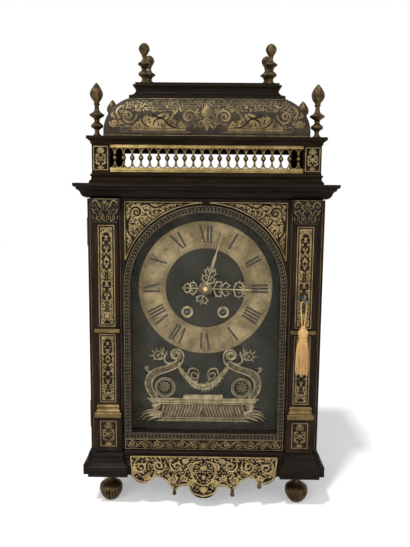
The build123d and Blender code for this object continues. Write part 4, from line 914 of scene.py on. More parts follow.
@dataclass
class Tassel:
    """The silk cord through the key's bow, with its knotted head and skirt of threads."""

    x: float = 121.5
    y: float = -89.5
    rim: float = 275.0
    head_top: float = 247.5
    head: float = 16.0
    skirt: float = 44.0
    skirt_r: float = 8.0
    cord: float = 1.5
    inset: float = 2.4
    threads: int = 150

    def route(self) -> list[Point]:
        """The doubled cord's points, as x from the key and height."""
        top, loop = self.head_top, self.rim + 1.4 + 0.75 + 1.0
        side = [(-1.1, top - self.inset), (-1.1, top), (-2.7, top + 11), (-3.2, top + 21), (-3.2, loop)]
        return side + [(-x, z) for x, z in reversed(side)]

    def hang(self) -> Piece:
        """Make the cord on its route."""
        curve = rod("silk_cord", self.cord / 2, 3)
        spline = curve.splines.new("NURBS")
        points = self.route()
        spline.points.add(len(points) - 1)
        for point, (x, z) in zip(spline.points, points):
            point.co = ((self.x + x) * MM, self.y * MM, z * MM, 1)
        spline.order_u = 3
        spline.use_endpoint_u = True
        spline.resolution_u = 12
        return dress(link("silk_cord", curve), "tassel", SILK, "silk", "tassel_cord")

    def head_piece(self) -> Piece:
        """Turn the knotted head and its collar of threads."""
        head = lathe("tassel_head", smooth_profile(
            [(0, -1), (3.6, -0.6), (4.6, 1.4), (5.6, 4.5), (5.7, 8), (4.4, 11.5), (2.6, 13.5), (2.9, 14.6),
             (1.9, 15.9), (0, 16.1)], 4), 36)
        press(head, lambda z, angle: 1.0 + 0.07 * math.cos(14 * angle + z * 0.26))
        collar = lathe("tassel_collar", [(0, -2.4), (4.6, -2.4), (5.3, -1.6), (4.7, -0.8), (5.3, 0),
                                         (4.6, 0.8), (0, 0.8)], 30)
        joined = join("tassel_head", [head, collar])
        return move(joined, Vector((self.x, self.y, self.head_top - self.head)) * MM)

    def skirt_piece(self) -> Piece:
        """Hang the skirt: waved threads in three rings, uneven at the hem."""
        chance, golden, steps = random.Random(11), 0.381966, 9
        curve = rod("tassel_skirt", 0.5, 0)
        top = self.head_top - self.head - 1.0
        for index in range(self.threads):
            ring = 1.0 - 0.3 * (index % 3)
            angle = TAU * index * golden + chance.uniform(-0.05, 0.05)
            spread = self.skirt_r * ring * chance.uniform(0.86, 1)
            reach = self.skirt - chance.uniform(0.2, 3.6)
            phase = chance.uniform(0, TAU)
            neck = 4.4 * ring
            spline = curve.splines.new("POLY")
            spline.points.add(steps)
            for step, point in enumerate(spline.points):
                t = step / steps
                radius = neck + (spread - neck) * min(1, t * 2.6) ** 0.6 * (0.86 + 0.14 * t)
                x, y = polar(radius, angle + 0.05 * math.sin(phase + t * 5), self.x, self.y)
                point.co = (x * MM, y * MM, (top - reach * t) * MM, 1)
                point.radius = 1.0 - 0.35 * t
        skirt = meshed("tassel_skirt", curve)
        bpy.ops.object.shade_smooth()
        return skirt

    def build(self) -> None:
        """Hang the cord, head and skirt from the key."""
        cord = self.hang()
        head = dress(self.head_piece(), "tassel", SILK, "silk", "tassel")
        skirt = dress(self.skirt_piece(), "tassel", SILK, "silk")


# ---- dial


@dataclass
class Dial:
    """Numerals, tracks and half-hour marks of the chapter ring."""

    z: float = 288.0
    face_y: float = -50.1
    outer: float = 86.5
    inner: float = 52.2
    track: float = 3.9
    foot_r: float = 59.2
    collar_x: float = 23.5
    collar_y: float = -48.5
    collar_z: float = 256.3
    numeral_h: float = 21.8
    letters: dict[str, float] = field(default_factory=lambda: {"I": 4.3, "V": 9.4, "X": 9.6})
    words: tuple[str, ...] = ("XII", "I", "II", "III", "IIII", "V", "VI", "VII", "VIII", "IX", "X", "XI")

    def lay(self, sunk: float) -> Rule:
        """The face of the ring, or a plane this much behind it, with the ring's middle at 0, 0."""
        return lambda x, z, h: Vector((x, self.face_y + sunk - h, self.z + z))

    def bars(self, letter: str, x: float) -> list[list[Point]]:
        """The strokes of one letter as outlines, from its left edge x, foot at 0."""
        h, w = self.numeral_h, self.letters[letter]
        left, right, thick, thin, serif = x + 0.5, x + w - 0.5, 2.7, 0.75, 0.8

        def slant(low: float, high: float, width: float) -> list[Point]:
            return [(low - width / 2, 0.2), (low + width / 2, 0.2), (high + width / 2, h - 0.2),
                    (high - width / 2, h - 0.2)]

        def foot(middle: float, width: float, z: float) -> list[Point]:
            return [(middle - width / 2, z), (middle + width / 2, z), (middle + width / 2, z + serif),
                    (middle - width / 2, z + serif)]

        middle = x + w / 2
        if letter == "I":
            return [slant(middle, middle, thick), foot(middle, w - 0.2, 0), foot(middle, w - 0.2, h - serif)]
        heads = [foot(left + thick / 2, 4.1, h - serif), foot(right - thin, 3, h - serif)]
        if letter == "V":
            return [slant(middle, left + thick / 2, thick), slant(middle + 0.4, right - thin / 2, thin), *heads]
        return [slant(right - thick / 2, left + thick / 2, thick), slant(left + thin, right - thin, thin), *heads,
                foot(right - thick / 2, 4.1, 0), foot(left + thin, 3, 0)]

    def numeral(self, word: str, hour: int) -> list[list[Point]]:
        """A numeral's outlines on the ring, with its foot towards the middle."""
        x, outlines = -sum(self.letters[letter] for letter in word) / 2, []
        for letter in word:
            outlines.extend(self.bars(letter, x))
            x += self.letters[letter]
        c, s = polar(1, TAU * hour / 12)
        placed = []
        for outline in outlines:
            ring = []
            for px, pz in outline:
                px, pz = px * (1.0 + 0.09 * (pz / self.numeral_h - 0.5)), pz + self.foot_r
                ring.append((px * c + pz * s, -px * s + pz * c))
            placed.append(ring)
        return placed

    def inked(self) -> None:
        """Cut the numerals and fill them with black wax."""
        points, faces = [], []
        for hour, word in enumerate(self.words):
            for index, outline in enumerate(self.numeral(word, hour)):
                start = len(points)
                lift = 0.12 + 0.02 * (index % 4)
                for y in (self.face_y - lift, self.face_y + 0.1):
                    points.extend((x * MM, y * MM, (self.z + z) * MM) for x, z in outline)
                faces.append([start, start + 1, start + 2, start + 3])
                faces.append([start + 7, start + 6, start + 5, start + 4])
                for a in range(4):
                    b = (a + 1) % 4
                    faces.append([start + b, start + a, start + 4 + a, start + 4 + b])
        piece = new("numerals", points, faces)
        dress(tidy(piece, 20), "case", WAX, "dial_cloth_plate")

    def tracks(self) -> None:
        """Engrave the minute track, the quarter track and the half-hour marks."""
        made = Ornament()
        outer, inner = (self.outer - self.track, self.outer - 0.6), (self.inner + 0.7, self.inner + self.track)
        for radius in (*outer[::-1], *inner):
            made.ring(radius, 0.17)
        for (first, last), count, major, thick in ((outer, 60, 5, 0.4), (inner, 96, 8, 0.36)):
            for index in range(count):
                angle = TAU * index / count
                made.bar(polar(first, angle), polar(last, angle), 0.2 if index % major else thick)
        mark = Ornament()
        mark.leaf(0, 0, 90, 5.6, 0.8).leaf(0, 0, -90, 4.4, 0.55)
        mark.leaf(0, -0.2, 25, 3, 0.5, 70).leaf(0, -0.2, 155, 3, 0.5, -70)
        mark.dot(0, 6.6, 0.5).dot(0, -5.4, 0.4)
        for half in range(12):
            angle = 30.0 * half + 15.0
            x, z = polar((self.outer + self.inner) / 2 + 1.5, math.radians(angle))
            made.place(mark, x, z, angle - 90, 0.6)
        made.fit("tracks", "case", WAX, 0.5, self.lay(-0.02), slot="dial_cloth_plate")

    def build(self) -> None:
        """Finish the dial."""
        self.inked()
        self.tracks()
        edge = Ornament().ring(self.outer, 0.35).ring(self.inner, 0.35)
        edge.fit("ring_edges", "case", GILT, 0.8, self.lay(0.3))
        collars = []
        for side in SIDES:
            collar = lathe("collar", [(4.3, 0.5), (4.5, 1.4), (4.9, 1.5), (5.2, 0.6), (6.3, 0.6), (6.6, 1.7),
                                      (7.2, 1.8), (7.6, 0.2)], 40)
            collars.append(move(collar, facing(side * self.collar_x, self.collar_y, self.collar_z)))
        dress(join("collar_rims", collars), "case", MOUNT_GILT, "gilt_brass")


@dataclass
class Hands:
    """Pierced and chased gilt hands that stand for the plain ones."""

    z: float = 288.0
    minute_y: float = -57.9
    hour_y: float = -54.7
    minute_angle: float = 16.5
    hour_angle: float = 91.375

    def lay(self, y: float, angle: float) -> Rule:
        """How a hand drawn pointing up lies at this angle past twelve."""
        c, s = math.cos(math.radians(angle)), math.sin(math.radians(angle))
        return lambda x, z, h: Vector((x * c + z * s, y - h, self.z - x * s + z * c))

    def hub(self, hand: str, y: float, radius: float, height: float) -> None:
        """A domed hub with a beaded rim on one hand."""
        dome = [(0, 1), (0.16, 0.95), (0.24, 0.6), (0.3, 0.5), (0.62, 0.34), (0.68, 0.6), (0.8, 0.6), (0.88, 0.3)]
        hub = lathe(f"{hand}_hub", [*((radius * across, height * up) for across, up in dome), (radius, 0.25),
                                    (radius, -0.5), (0, -0.5)], 40)
        dress(move(hub, facing(0, y, self.z)), f"{hand}_hand", HUB_GILT, "gilt_brass")

    def minute(self) -> None:
        """The long hand: trefoil of scrolls, slender leaf and a scrolled tail."""
        made, half = Ornament(), Ornament()
        half.curve([(1, 6), (2.6, 8.6), (6.8, 10.4), (8, 14.4), (5, 16.8), (2.6, 14.2), (4.2, 12.4)],
                   [0.6, 0.75, 0.8, 0.75, 0.65, 0.6, 0.5])
        half.curve([(0.8, 17), (4, 18.4), (6.6, 21.8), (5.2, 25.8), (2.4, 24.4), (3.2, 21.8)],
                   [0.5, 0.7, 0.8, 0.7, 0.6, 0.45])
        half.leaf(7, 10.6, 20, 3, 0.6, 50).leaf(8, 15.4, 62, 3, 0.6, 60).leaf(6.6, 22.6, 20, 3, 0.6, 60)
        half.leaf(4.6, 26, 74, 3.6, 0.7, 50).leaf(0.5, 25.2, 52, 6, 0.85, 44).leaf(0.4, 29.6, 64, 3.6, 0.6, 40)
        half.curve([(0.8, -10), (4.6, -10.8), (6.8, -14.2), (4.8, -18), (1.6, -17.2), (3, -14.4)],
                   [0.6, 0.75, 0.8, 0.75, 0.6, 0.45])
        half.leaf(6.8, -13.2, -10, 2.8, 0.6, -50).leaf(5.4, -17.6, -50, 2.8, 0.6, -50)
        made.pair(half.thinned(0.78))
        made.curve([(0, 3), (0, 14), (0, 26)], [0.8, 0.6, 0.8], 6)
        made.leaf(0, 28, 90, 25, 2.1, 0, 12)
        made.curve([(0, 48), (0, 62), (0, 79)], [0.75, 0.6, 0.3], 6)
        made.curve([(0, -8), (0, -14), (0, -21.6)], [0.7, 0.6, 0.4])
        made.dot(0, -20.2, 1).dot(0, 16.6, 1).dot(0, 28.2, 1.3).dot(0, 54.6, 0.9)
        made.fit("minute_blade", "minute_hand", HAND_GILT, 0.55, self.lay(self.minute_y, self.minute_angle),
                 "minute_hand", sides=2)
        self.hub("minute", self.minute_y, 6, 1.9)

    def hour(self) -> None:
        """The short hand: open scrolls either side, a pierced head with a point, a scrolled tail."""
        made, half = Ornament(), Ornament()
        half.curve([(1, 10.6), (4.4, 12.4), (8.2, 14), (9.4, 18.2), (6.4, 21.2), (3.4, 19.4), (4.4, 16.6)],
                   [0.7, 0.9, 0.95, 0.85, 0.75, 0.65, 0.5])
        half.curve([(0.8, 20), (3.6, 22), (7.4, 24.4), (7.6, 28.8), (3.6, 30), (2.4, 27)],
                   [0.6, 0.8, 0.9, 0.8, 0.7, 0.5])
        half.leaf(8.2, 13.8, 30, 3.6, 0.75, 60).leaf(9.4, 19.2, 70, 3.4, 0.7, 60).leaf(7.8, 25.6, 20, 3.4, 0.7, 60)
        half.leaf(5.4, 30.2, 110, 3.4, 0.7, 40)
        half.curve([(0.6, 36.6), (4, 37.6), (8.6, 40.4), (9.2, 45), (5.6, 48.4), (2.8, 45.6), (4.8, 42.8)],
                   [0.6, 0.85, 0.95, 0.85, 0.75, 0.65, 0.5])
        half.leaf(6.4, 38.6, -10, 3.8, 0.75, 50).leaf(9.4, 43.6, 12, 3.4, 0.7, 60).leaf(8, 47.8, 56, 3.8, 0.75, 50)
        half.leaf(4.4, 48.6, 76, 4.6, 0.8, 40).leaf(0.6, 46.6, 58, 6.4, 0.9, 44)
        half.curve([(1, -11), (4.2, -12), (7.6, -15.2), (6, -19.6), (2.6, -18.6), (4, -15.6)],
                   [0.7, 0.85, 0.95, 0.8, 0.65, 0.5])
        half.curve([(0.6, -19), (4.8, -21.4), (5, -25.4), (1.4, -27.4)], [0.6, 0.8, 0.8, 0.6])
        half.leaf(7.4, -15.6, -16, 3.2, 0.7, -50).leaf(5.4, -22.4, -20, 3, 0.65, -50)
        made.pair(half.thinned(0.78))
        made.curve([(0, 5), (0, 22), (0, 44)], [0.9, 0.75, 0.8])
        made.leaf(0, 43, 90, 18.4, 1.7, 0, 12)
        made.curve([(0, -5), (0, -16), (0, -30)], [0.8, 0.65, 0.4])
        made.dot(0, 20.4, 1.1).dot(0, 33, 1.3).dot(0, -28.4, 1.1)
        made.fit("hour_blade", "hour_hand", HAND_GILT, 0.5, self.lay(self.hour_y, self.hour_angle), "hour_hand",
                 sides=2)
        self.hub("hour", self.hour_y, 9, 1.7)

    def build(self) -> None:
        """Make both hands."""
        self.minute()
        self.hour()


@dataclass
class DialMount:
    """The cast openwork mount under the chapter ring: slab on paws, two brackets, garland and bare plate, over darker
    gilt that is painted shade in its hollows.
    """

    x: float = -1.8
    y: float = -49.9
    roundel: Point = (50.6, 154)
    rosette: Point = (51.2, 155.2)
    volute: Point = (36.4, 198.2)

    def lay(self, proud: float = 0) -> Rule:
        """The plane of the mount, this much proud of it."""
        return lambda x, z, h: Vector((self.x + x, self.y - proud - h, z))

    def slab(self) -> Piece:
        """The slab's mouldings, the slanting gadroons under it and the rail between the paws."""
        made, half = Ornament(), Ornament()
        for z, reach, width in ((138.4, 74.5, 1.3), (136.2, 72, 0.8), (134.2, 70.6, 1.3), (131.6, 67, 0.9),
                                (112, 55.5, 1.1), (109.3, 59, 0.9), (107.7, 63, 0.6)):
            made.bar((-reach, z), (reach, z), width)
        for index in range(12):
            x = 1.6 + index * 4.05
            half.curve([(x + 5.2, 114), (x + 2.2, 121.6), (x, 129.6)], [0.75, 1, 1.15], 4)
        half.curve([(52.4, 129.6), (54.6, 121), (57, 113)], [1.2, 1, 1.2])
        return made.pair(half).cut("mount_slab", 0.8, self.lay(), 2)

    def panel(self) -> Piece:
        """A dark sheet behind the gadroons: painted shade in the gaps between them."""
        sheet = plate("mount_shade_panel", [(-57, 113), (57, 113), (52, 130.5), (-52, 130.5)], 1)
        return move(sheet, Vector((self.x, self.y + 0.3, 0)) * MM)

    def bracket(self) -> Ornament:
        """The right bracket: a channelled S that winds in at its top and holds a roundel at its foot."""
        half = Ornament()
        outer = [(67.6, 139.8), (74.2, 149), (76.6, 159.6), (73.4, 171), (64.4, 178.4), (51.6, 182.4),
                 (41.2, 187), (34.6, 191.6)]
        inner = [(61, 140.6), (66.6, 150.6), (68.2, 159), (65.6, 166.6), (58.6, 171.8), (48, 175.4),
                 (37, 180.2), (29, 187), (25.8, 197.2)]
        half.curve(outer, [0.9, 1.1, 1.2, 1.1, 0.9], 6)
        half.curve(inner, [0.9, 1.1, 1.1, 1, 0.9], 6)
        half.scroll(*self.volute, 10.4, 2.5, 188, 1.45, [1.1, 1.5, 1.4, 0.9], Hand.RIGHT, 2.6)
        half.scroll(36.8, 197.8, 7.4, 3, 230, 1, [0.5, 0.9, 0.6], Hand.RIGHT)
        for x, z, turn, length in ((72.6, 147, 62, 9), (73.8, 155, 76, 9), (73.6, 163, 98, 9), (69.4, 170, 128, 9),
                                   (62.2, 175.6, 150, 9), (53.2, 179.2, 160, 8), (44.6, 182.4, 158, 8)):
            half.leaf(x - 1, z, turn + 6, length * 0.95, 0.95, 40)
            half.leaf(x - 3.8, z - 0.4, turn - 10, length * 0.8, 0.85, -34)
        half.scroll(74.4, 180.4, 2.7, 1, -70, 0.9, [1.1, 1.3, 0.9], Hand.LEFT, 1.3)
        half.curve([(69, 174), (72.6, 175.6), (75.3, 178)], [1.3, 1.2, 1.1])
        half.scroll(*self.roundel, 13.2, 13.1, 0, 1, [0.7, 0.7])
        half.scroll(*self.roundel, 10.6, 10.5, 0, 1, [0.4, 0.4])
        half.curve([(61.6, 147.2), (62.6, 143.4), (60.4, 140.2)], [1.2, 1.4, 1])
        return half

    def hollow(self) -> Piece:
        """Painted shade in the sunk channel of both brackets between their edges, in the volutes and roundels, behind
        the rosettes and along the garland.
        """
        half = Ornament()
        half.curve([(64.4, 141), (70.6, 150), (72.4, 159.4), (69.4, 168.6), (61.4, 175), (49.8, 179), (39, 183.8),
                    (31.8, 189.4)], [2.4, 3.6, 4, 3.6, 3.2, 2.6], 6)
        half.scroll(*self.volute, 8.4, 3, 188, 1.2, [1.8, 2, 1.6], Hand.RIGHT)
        half.scroll(*self.roundel, 11.9, 11.8, 0, 1, [0.9, 0.9])
        half.curve([(0, 154.8), (8, 156.6), (16, 161.8), (24, 170.6), (31.4, 181.8)], [4.6, 4.2, 3.4, 2.4, 1.4], 5)
        half.dot(*self.rosette, 6.4)
        return Ornament().pair(half).cut("mount_channel_shade", 0.25, self.lay(), 1)

    def rosettes(self) -> Ornament:
        """A full flower in each roundel."""
        half = Ornament()
        for count, reach, length, width, shift in ((9, 4, 3.6, 0.85, 0), (6, 1.7, 2.8, 0.75, 0.4)):
            for index in range(count):
                angle = TAU * index / count + shift
                half.leaf(*polar(reach, angle, *self.rosette), math.degrees(angle) + 8, length, width, 24, 5)
        return half.dot(*self.rosette, 0.9)

    def spray(self) -> Ornament:
        """The looped spray that grows outwards from each volute."""
        half = Ornament()
        half.curve([(41, 187.6), (47, 187), (51.4, 191), (50.6, 196.4), (54.4, 201.4), (60, 203.2)],
                   [1.2, 1.1, 1, 0.9, 0.8], 5)
        half.curve([(47.6, 200.6), (51, 196), (56, 192.4), (62, 192.2)], [0.6, 1, 0.9, 0.6], 5)
        half.scroll(60.2, 197.6, 5.6, 5.2, 100, 0.96, [0.75, 0.7, 0.75])
        for x, z, turn, length, width in (
                (52.6, 202, 92, 8.6, 1.2), (54, 203, 62, 6, 1), (50, 200, 120, 5, 1),
                (64.6, 201.6, 38, 5.6, 1), (65.8, 197, -2, 5.2, 1), (63.8, 193.4, -42, 4.4, 0.9),
                (61.2, 203.2, 74, 4.6, 0.9), (57.6, 200.6, -60, 4.6, 0.9), (61.6, 195.6, 120, 4.2, 0.9),
                (57, 193.6, 40, 4, 0.8)):
            half.leaf(x, z, turn, length, width, 26, 6)
        return half.dot(70.6, 196.8, 0.9).dot(60.3, 197.8, 1.1)

    def paws(self) -> Piece:
        """The spread claws, the heel and the curled head over each paw."""
        half = Ornament()
        half.curve([(57, 131), (63.6, 128.4), (63.8, 122.6), (57.4, 119.4), (56, 114.6)],
                   [2.2, 2.6, 2.2, 2.4, 1.8], 6)
        half.scroll(60.4, 127, 3.6, 1.2, 60, 1.1, [0.9, 1.2, 0.8], Hand.LEFT, 1.1)
        half.leaf(64, 130.2, -40, 5.6, 1.2, -30).leaf(66.4, 130.6, -60, 5, 1.1, -30)
        for points in ([(57.6, 119.6), (66, 122.4), (74.6, 121.6), (82, 117.6)],
                       [(58.2, 117.6), (67, 119), (76, 117.4), (83.4, 112.4)],
                       [(58.2, 115.6), (66.6, 115.6), (75, 113.2), (81, 108.8)],
                       [(57.4, 113.6), (64, 112.4), (70.2, 110.2), (74.6, 107.6)]):
            half.curve(points, [2.2, 1.7, 1.35, 0.5], 6)
        return Ornament().pair(half).cut("mount_paws", 0.85, self.lay(), 2)

    def garland(self) -> Piece:
        """The leafy swag between the volutes with its fluttering ribbons."""
        made, half = Ornament(), Ornament()
        chance = random.Random(4)
        for index in range(34):
            t = -1 + 2 * index / 33
            x, z = 32.0 * t, 154.8 + 28.0 * abs(t) ** 2.0
            slope = math.degrees(math.atan2(56.0 * t, 32))
            thick = 0.75 + 1.0 * (1 - t * t)
            for side in SIDES:
                made.leaf(x, z, slope + side * (52 + chance.uniform(-22, 22)),
                          (4.4 + chance.uniform(-0.8, 0.8)) * thick, 1, 36 * side, 5)
                made.leaf(x, z, slope + 180 - side * (50 + chance.uniform(-22, 22)), 4.0 * thick, 0.95,
                          -36 * side, 5)
            made.dot(x + chance.uniform(-1, 1), z + chance.uniform(-2.2, 2.2) * thick, 0.8)
        half.curve([(24.6, 172.4), (20, 173.6), (18, 179.6), (12.6, 180.6), (7, 177.2), (5.8, 170.4)],
                   [0.7, 1, 0.8, 1, 0.8, 0.6], 5)
        half.curve([(5.8, 170.4), (9.6, 167), (14.6, 168.2), (15.8, 173), (11, 174.6), (6.6, 168.6),
                    (9, 163.6)], [0.6, 0.9, 0.7, 0.9, 0.7, 0.8, 0.4], 5)
        half.curve([(31.2, 188.6), (32.6, 182), (29.6, 175.4), (26, 170.4)], [1.1, 0.9, 1.1, 0.5], 5)
        return made.pair(half).cut("mount_garland", 0.8, self.lay(0.4), 2)

    def build(self) -> None:
        """Make the mount in place of its plain casting."""
        scrolls = self.bracket()
        scrolls.place(self.rosettes()).place(self.spray())
        brackets = Ornament().pair(scrolls).cut("mount_brackets", 0.8, self.lay(0.1), 2)
        name_plate = plate("mount_plate", [(-27, 138.6), (27, 138.6), (25.4, 144.6), (-25.4, 144.6)], 2.2)
        move(name_plate, Vector((self.x, self.y - 1.2, 0)) * MM)
        pieces = [self.slab(), brackets, self.paws(), self.garland(), name_plate]
        dress(join("pale_mount", pieces), "case", MOUNT_GILT, "gilt_brass", "dial_mount")
        # The panel and the channel strokes are darker gilt: painted shade in the mount's recesses.
        dress(join("mount_painted_shade", [self.panel(), self.hollow()]), "case", MOUNT_SHADE_GILT, "gilt_brass")


# ---- door


@dataclass
class Bezel:
    """Chased ribbon and leaves on the arched moulding of the glass."""

    y: float = -71.5
    arch_z: float = 291.0
    radius: float = 99.0
    foot_z: float = 95.5
    half_w: float = 99.0
    pitch: float = 4.6

    def path(self, distance: float) -> tuple[float, float, float]:
        """Place and heading, in degrees, at a distance along the moulding from its left foot."""
        rise, arc = self.arch_z - self.foot_z, math.pi * self.radius
        if distance < rise:
            return -self.half_w, self.foot_z + distance, 90.0
        distance -= rise
        if distance < arc:
            angle = math.pi - distance / self.radius
            return (self.radius * math.cos(angle), self.arch_z + self.radius * math.sin(angle),
                    math.degrees(angle) - 90)
        distance -= arc
        if distance < rise:
            return self.half_w, self.arch_z - distance, -90.0
        return self.half_w - (distance - rise), self.foot_z, 180.0

    def build(self) -> None:
        """Chase the moulding and lay its two thin brass lines."""
        total = 2 * (self.arch_z - self.foot_z) + math.pi * self.radius + 2 * self.half_w
        bead = Ornament()
        bead.curve([(-1.7, -2.7), (0, -1.9), (1.6, -0.7)], [0.2, 0.55, 0.25], 3)
        bead.curve([(-1.6, 1.7), (0, 0.9), (1.4, 0.1)], [0.2, 0.5, 0.2], 3)
        bead.dot(-0.4, 2.1, 0.4)
        count = round(total / self.pitch)
        made = Ornament()
        for index in range(count):
            made.place(bead, *self.path(total * (index + 0.5) / count))
        made.fit("bezel_leaves", "front_door", BEZEL_GILT, 0.8, upright(self.y - 0.1))
        lines = Ornament()
        for offset, width in ((-3.7, 0.35), (3.6, 0.5)):
            side, foot, radius = self.half_w + offset, self.foot_z - offset, self.radius + offset
            arc = [(-x, self.arch_z + z) for x, z in (polar(radius, math.pi * i / 90) for i in range(91))]
            lines.add([(-side, foot), *arc, (side, foot)], [width, width])
            lines.bar((-side, foot), (side, foot), width)
        lines.fit("bezel_lines", "front_door", BEZEL_GILT, 0.9, upright(self.y + 0.1))


def sheet(name: str, outline: Sequence[Point], y: float) -> Piece:
    """A thin inlaid sheet with its face at this depth."""
    return move(plate(name, outline, 0.08), Vector((0, y * MM, 0)))


@dataclass
class Marquetry:
    """Brass and shell inlay of the door's spandrels and frieze."""

    y: float = -69.1
    arch_z: float = 291.0
    edge_r: float = 105.2
    low: float = 324.6
    high: float = 399.6
    half_w: float = 102.6
    split: float = 3.9
    face_y: float = -68.46
    strings: tuple[float, float] = (107.4, 144.6)

    def outline(self, inset: float) -> list[Point]:
        """Outline of the right spandrel, drawn in by this much."""
        radius, low, high, outer = self.edge_r + inset, self.low + inset, self.high - inset, self.half_w - inset
        left = self.split + inset
        first = max(math.asin((low - self.arch_z) / radius), math.acos(min(outer / radius, 1)))
        last = min(math.acos(left / radius), math.asin(min((high - self.arch_z) / radius, 1)))
        arc = [polar(radius, first + (last - first) * i / 24, 0, self.arch_z) for i in range(25)]
        corners = [(outer, low), (outer, high), (left, high)]
        if arc[0][0] > outer - 0.2:
            corners = corners[1:]
        if arc[-1][1] > high - 0.2:
            corners = corners[:-1]
        return [*corners, *arc[::-1]]

    def clear(self, x: float, z: float, gap: float) -> bool:
        """Whether a place is this far outside the arch's moulding."""
        return math.hypot(x, z - self.arch_z) > self.edge_r + gap

    def drawing(self) -> Ornament:
        """The dark scrolls of the right spandrel."""
        made = Ornament()
        made.scroll(86.5, 385.4, 8.4, 1.9, -30, 1.55, [0.9, 1.5, 1.2, 0.8], Hand.LEFT, 1.5)
        made.curve([(93.4, 380.6), (97.6, 372), (97, 361), (91.4, 352.4), (93.6, 343), (99.6, 333.6)],
                   [1.3, 1.6, 1.4, 1.2, 1.3, 0.6], 6)
        made.curve([(82, 394), (73, 396), (64, 391.4), (54.6, 393.8), (44, 397), (30, 397.2)],
                   [1.3, 1.5, 1.3, 1.2, 1, 0.5], 6)
        made.curve([(84, 377.6), (78.4, 369.4), (70.6, 368), (66.4, 374), (70.6, 379.4), (75.2, 376.4)],
                   [1.2, 1.4, 1.2, 1.1, 1, 0.7], 5)
        made.curve([(91.6, 352.6), (87, 347.6), (85, 341.6), (88.4, 337.8), (91.4, 341)],
                   [1.1, 1.2, 1, 0.9, 0.6], 5)
        leaves = ((97.6, 371, 78, 8), (98.2, 364, 118, 6.4), (93.6, 356, 214, 8.6), (96.6, 352, 20, 6),
                  (98.6, 341, 70, 7), (92.6, 346, 200, 6), (99.6, 388, 84, 9), (96.2, 392, 150, 8),
                  (89.6, 396.8, 178, 9), (77, 388.4, 190, 9), (76.6, 384.4, 226, 8), (66.4, 385.6, 150, 7.6),
                  (60.4, 388.4, 200, 7.6), (61.4, 396.8, 178, 7.6), (52.4, 389, 170, 7),
                  (46.6, 392.4, 195, 7), (38, 394, 176, 6.4), (28, 397.4, 186, 8),
                  (86.4, 366, 250, 8.6), (89.6, 362, 286, 7.6), (80.6, 362.4, 200, 7),
                  (100, 378.6, 262, 6), (99.6, 350.4, 262, 6), (100.6, 330, 262, 5.6),
                  (70, 382.6, 110, 6), (92.6, 371.6, 196, 7))
        made.twins((leaf for leaf in leaves if self.clear(leaf[0], leaf[1], 2)), 1.35, 46, 42, 0.62, 1)
        return made.fill(lambda x, z: 18 < x < self.half_w - 3.4 and z < self.high - 3.0 and self.clear(x, z, 3.4),
                         (18, 325), (101, 398), 3.1, 4.4, 0.95, 0.95, 5)

    def spandrels(self) -> None:
        """Lay the brass ground, the dark scrolls and the border lines of both spandrels."""
        right = self.outline(3.6)
        grounds = [sheet("spandrel", [(side * x, z) for x, z in right], self.y - 0.06) for side in SIDES]
        dress(join("spandrel_ground", grounds), "front_door", INLAY, "gilt_brass")
        Ornament().pair(self.drawing()).fit("spandrel_scrolls", "front_door", SHELL, 0.05, upright(self.y - 0.1),
                                            slot="inlaid_wood")
        ring = self.outline(1.5)
        border = Ornament().pair(Ornament().add([*ring, ring[0]], [0.6, 0.6]))
        border.fit("spandrel_border", "front_door", INLAY, 0.1, upright(self.y - 0.12))

    def frieze(self) -> None:
        """Lay the gold rinceaux of the frieze between two lines."""
        made, half, low, high, side = Ornament(), Ornament(), 76.6, 89.6, 102.6
        half.place(vine(98, 13, 6, 0.5), 3.2, 83.1)
        half.leaf(1.2, 79.6, 52, 7, 0.6, 60).leaf(1, 83, 70, 5.4, 0.6, 40)
        half.fill(lambda x, z: 5 < x < 100.6 and 78.4 < z < 87.8, (5, 78), (101, 88), 2.6, 3.4, 0.45, 0.6, 2)
        made.pair(half)
        made.place(palmette(9, 8.6, 0.42), 0, 79.2)
        for z in (low, high):
            made.bar((-side - 0.2, z), (side + 0.2, z), 0.45)
        for x in (-side, side):
            made.bar((x, low), (x, high), 0.45)
        made.fit("frieze_inlay", "front_door", INLAY, 0.14, upright(self.y + 0.01))

    def stringing(self) -> None:
        """The upright brass lines beside the pilasters and round the door."""
        made = Ornament()
        for x in self.strings:
            for side in SIDES:
                made.bar((side * x, 77), (side * x, 401), 0.28)
        made.fit("door_stringing", "front_door", DULL_INLAY, 0.3, upright(self.face_y))

    def build(self) -> None:
        """Lay all the inlay of the door."""
        self.spandrels()
        self.frieze()
        self.stringing()


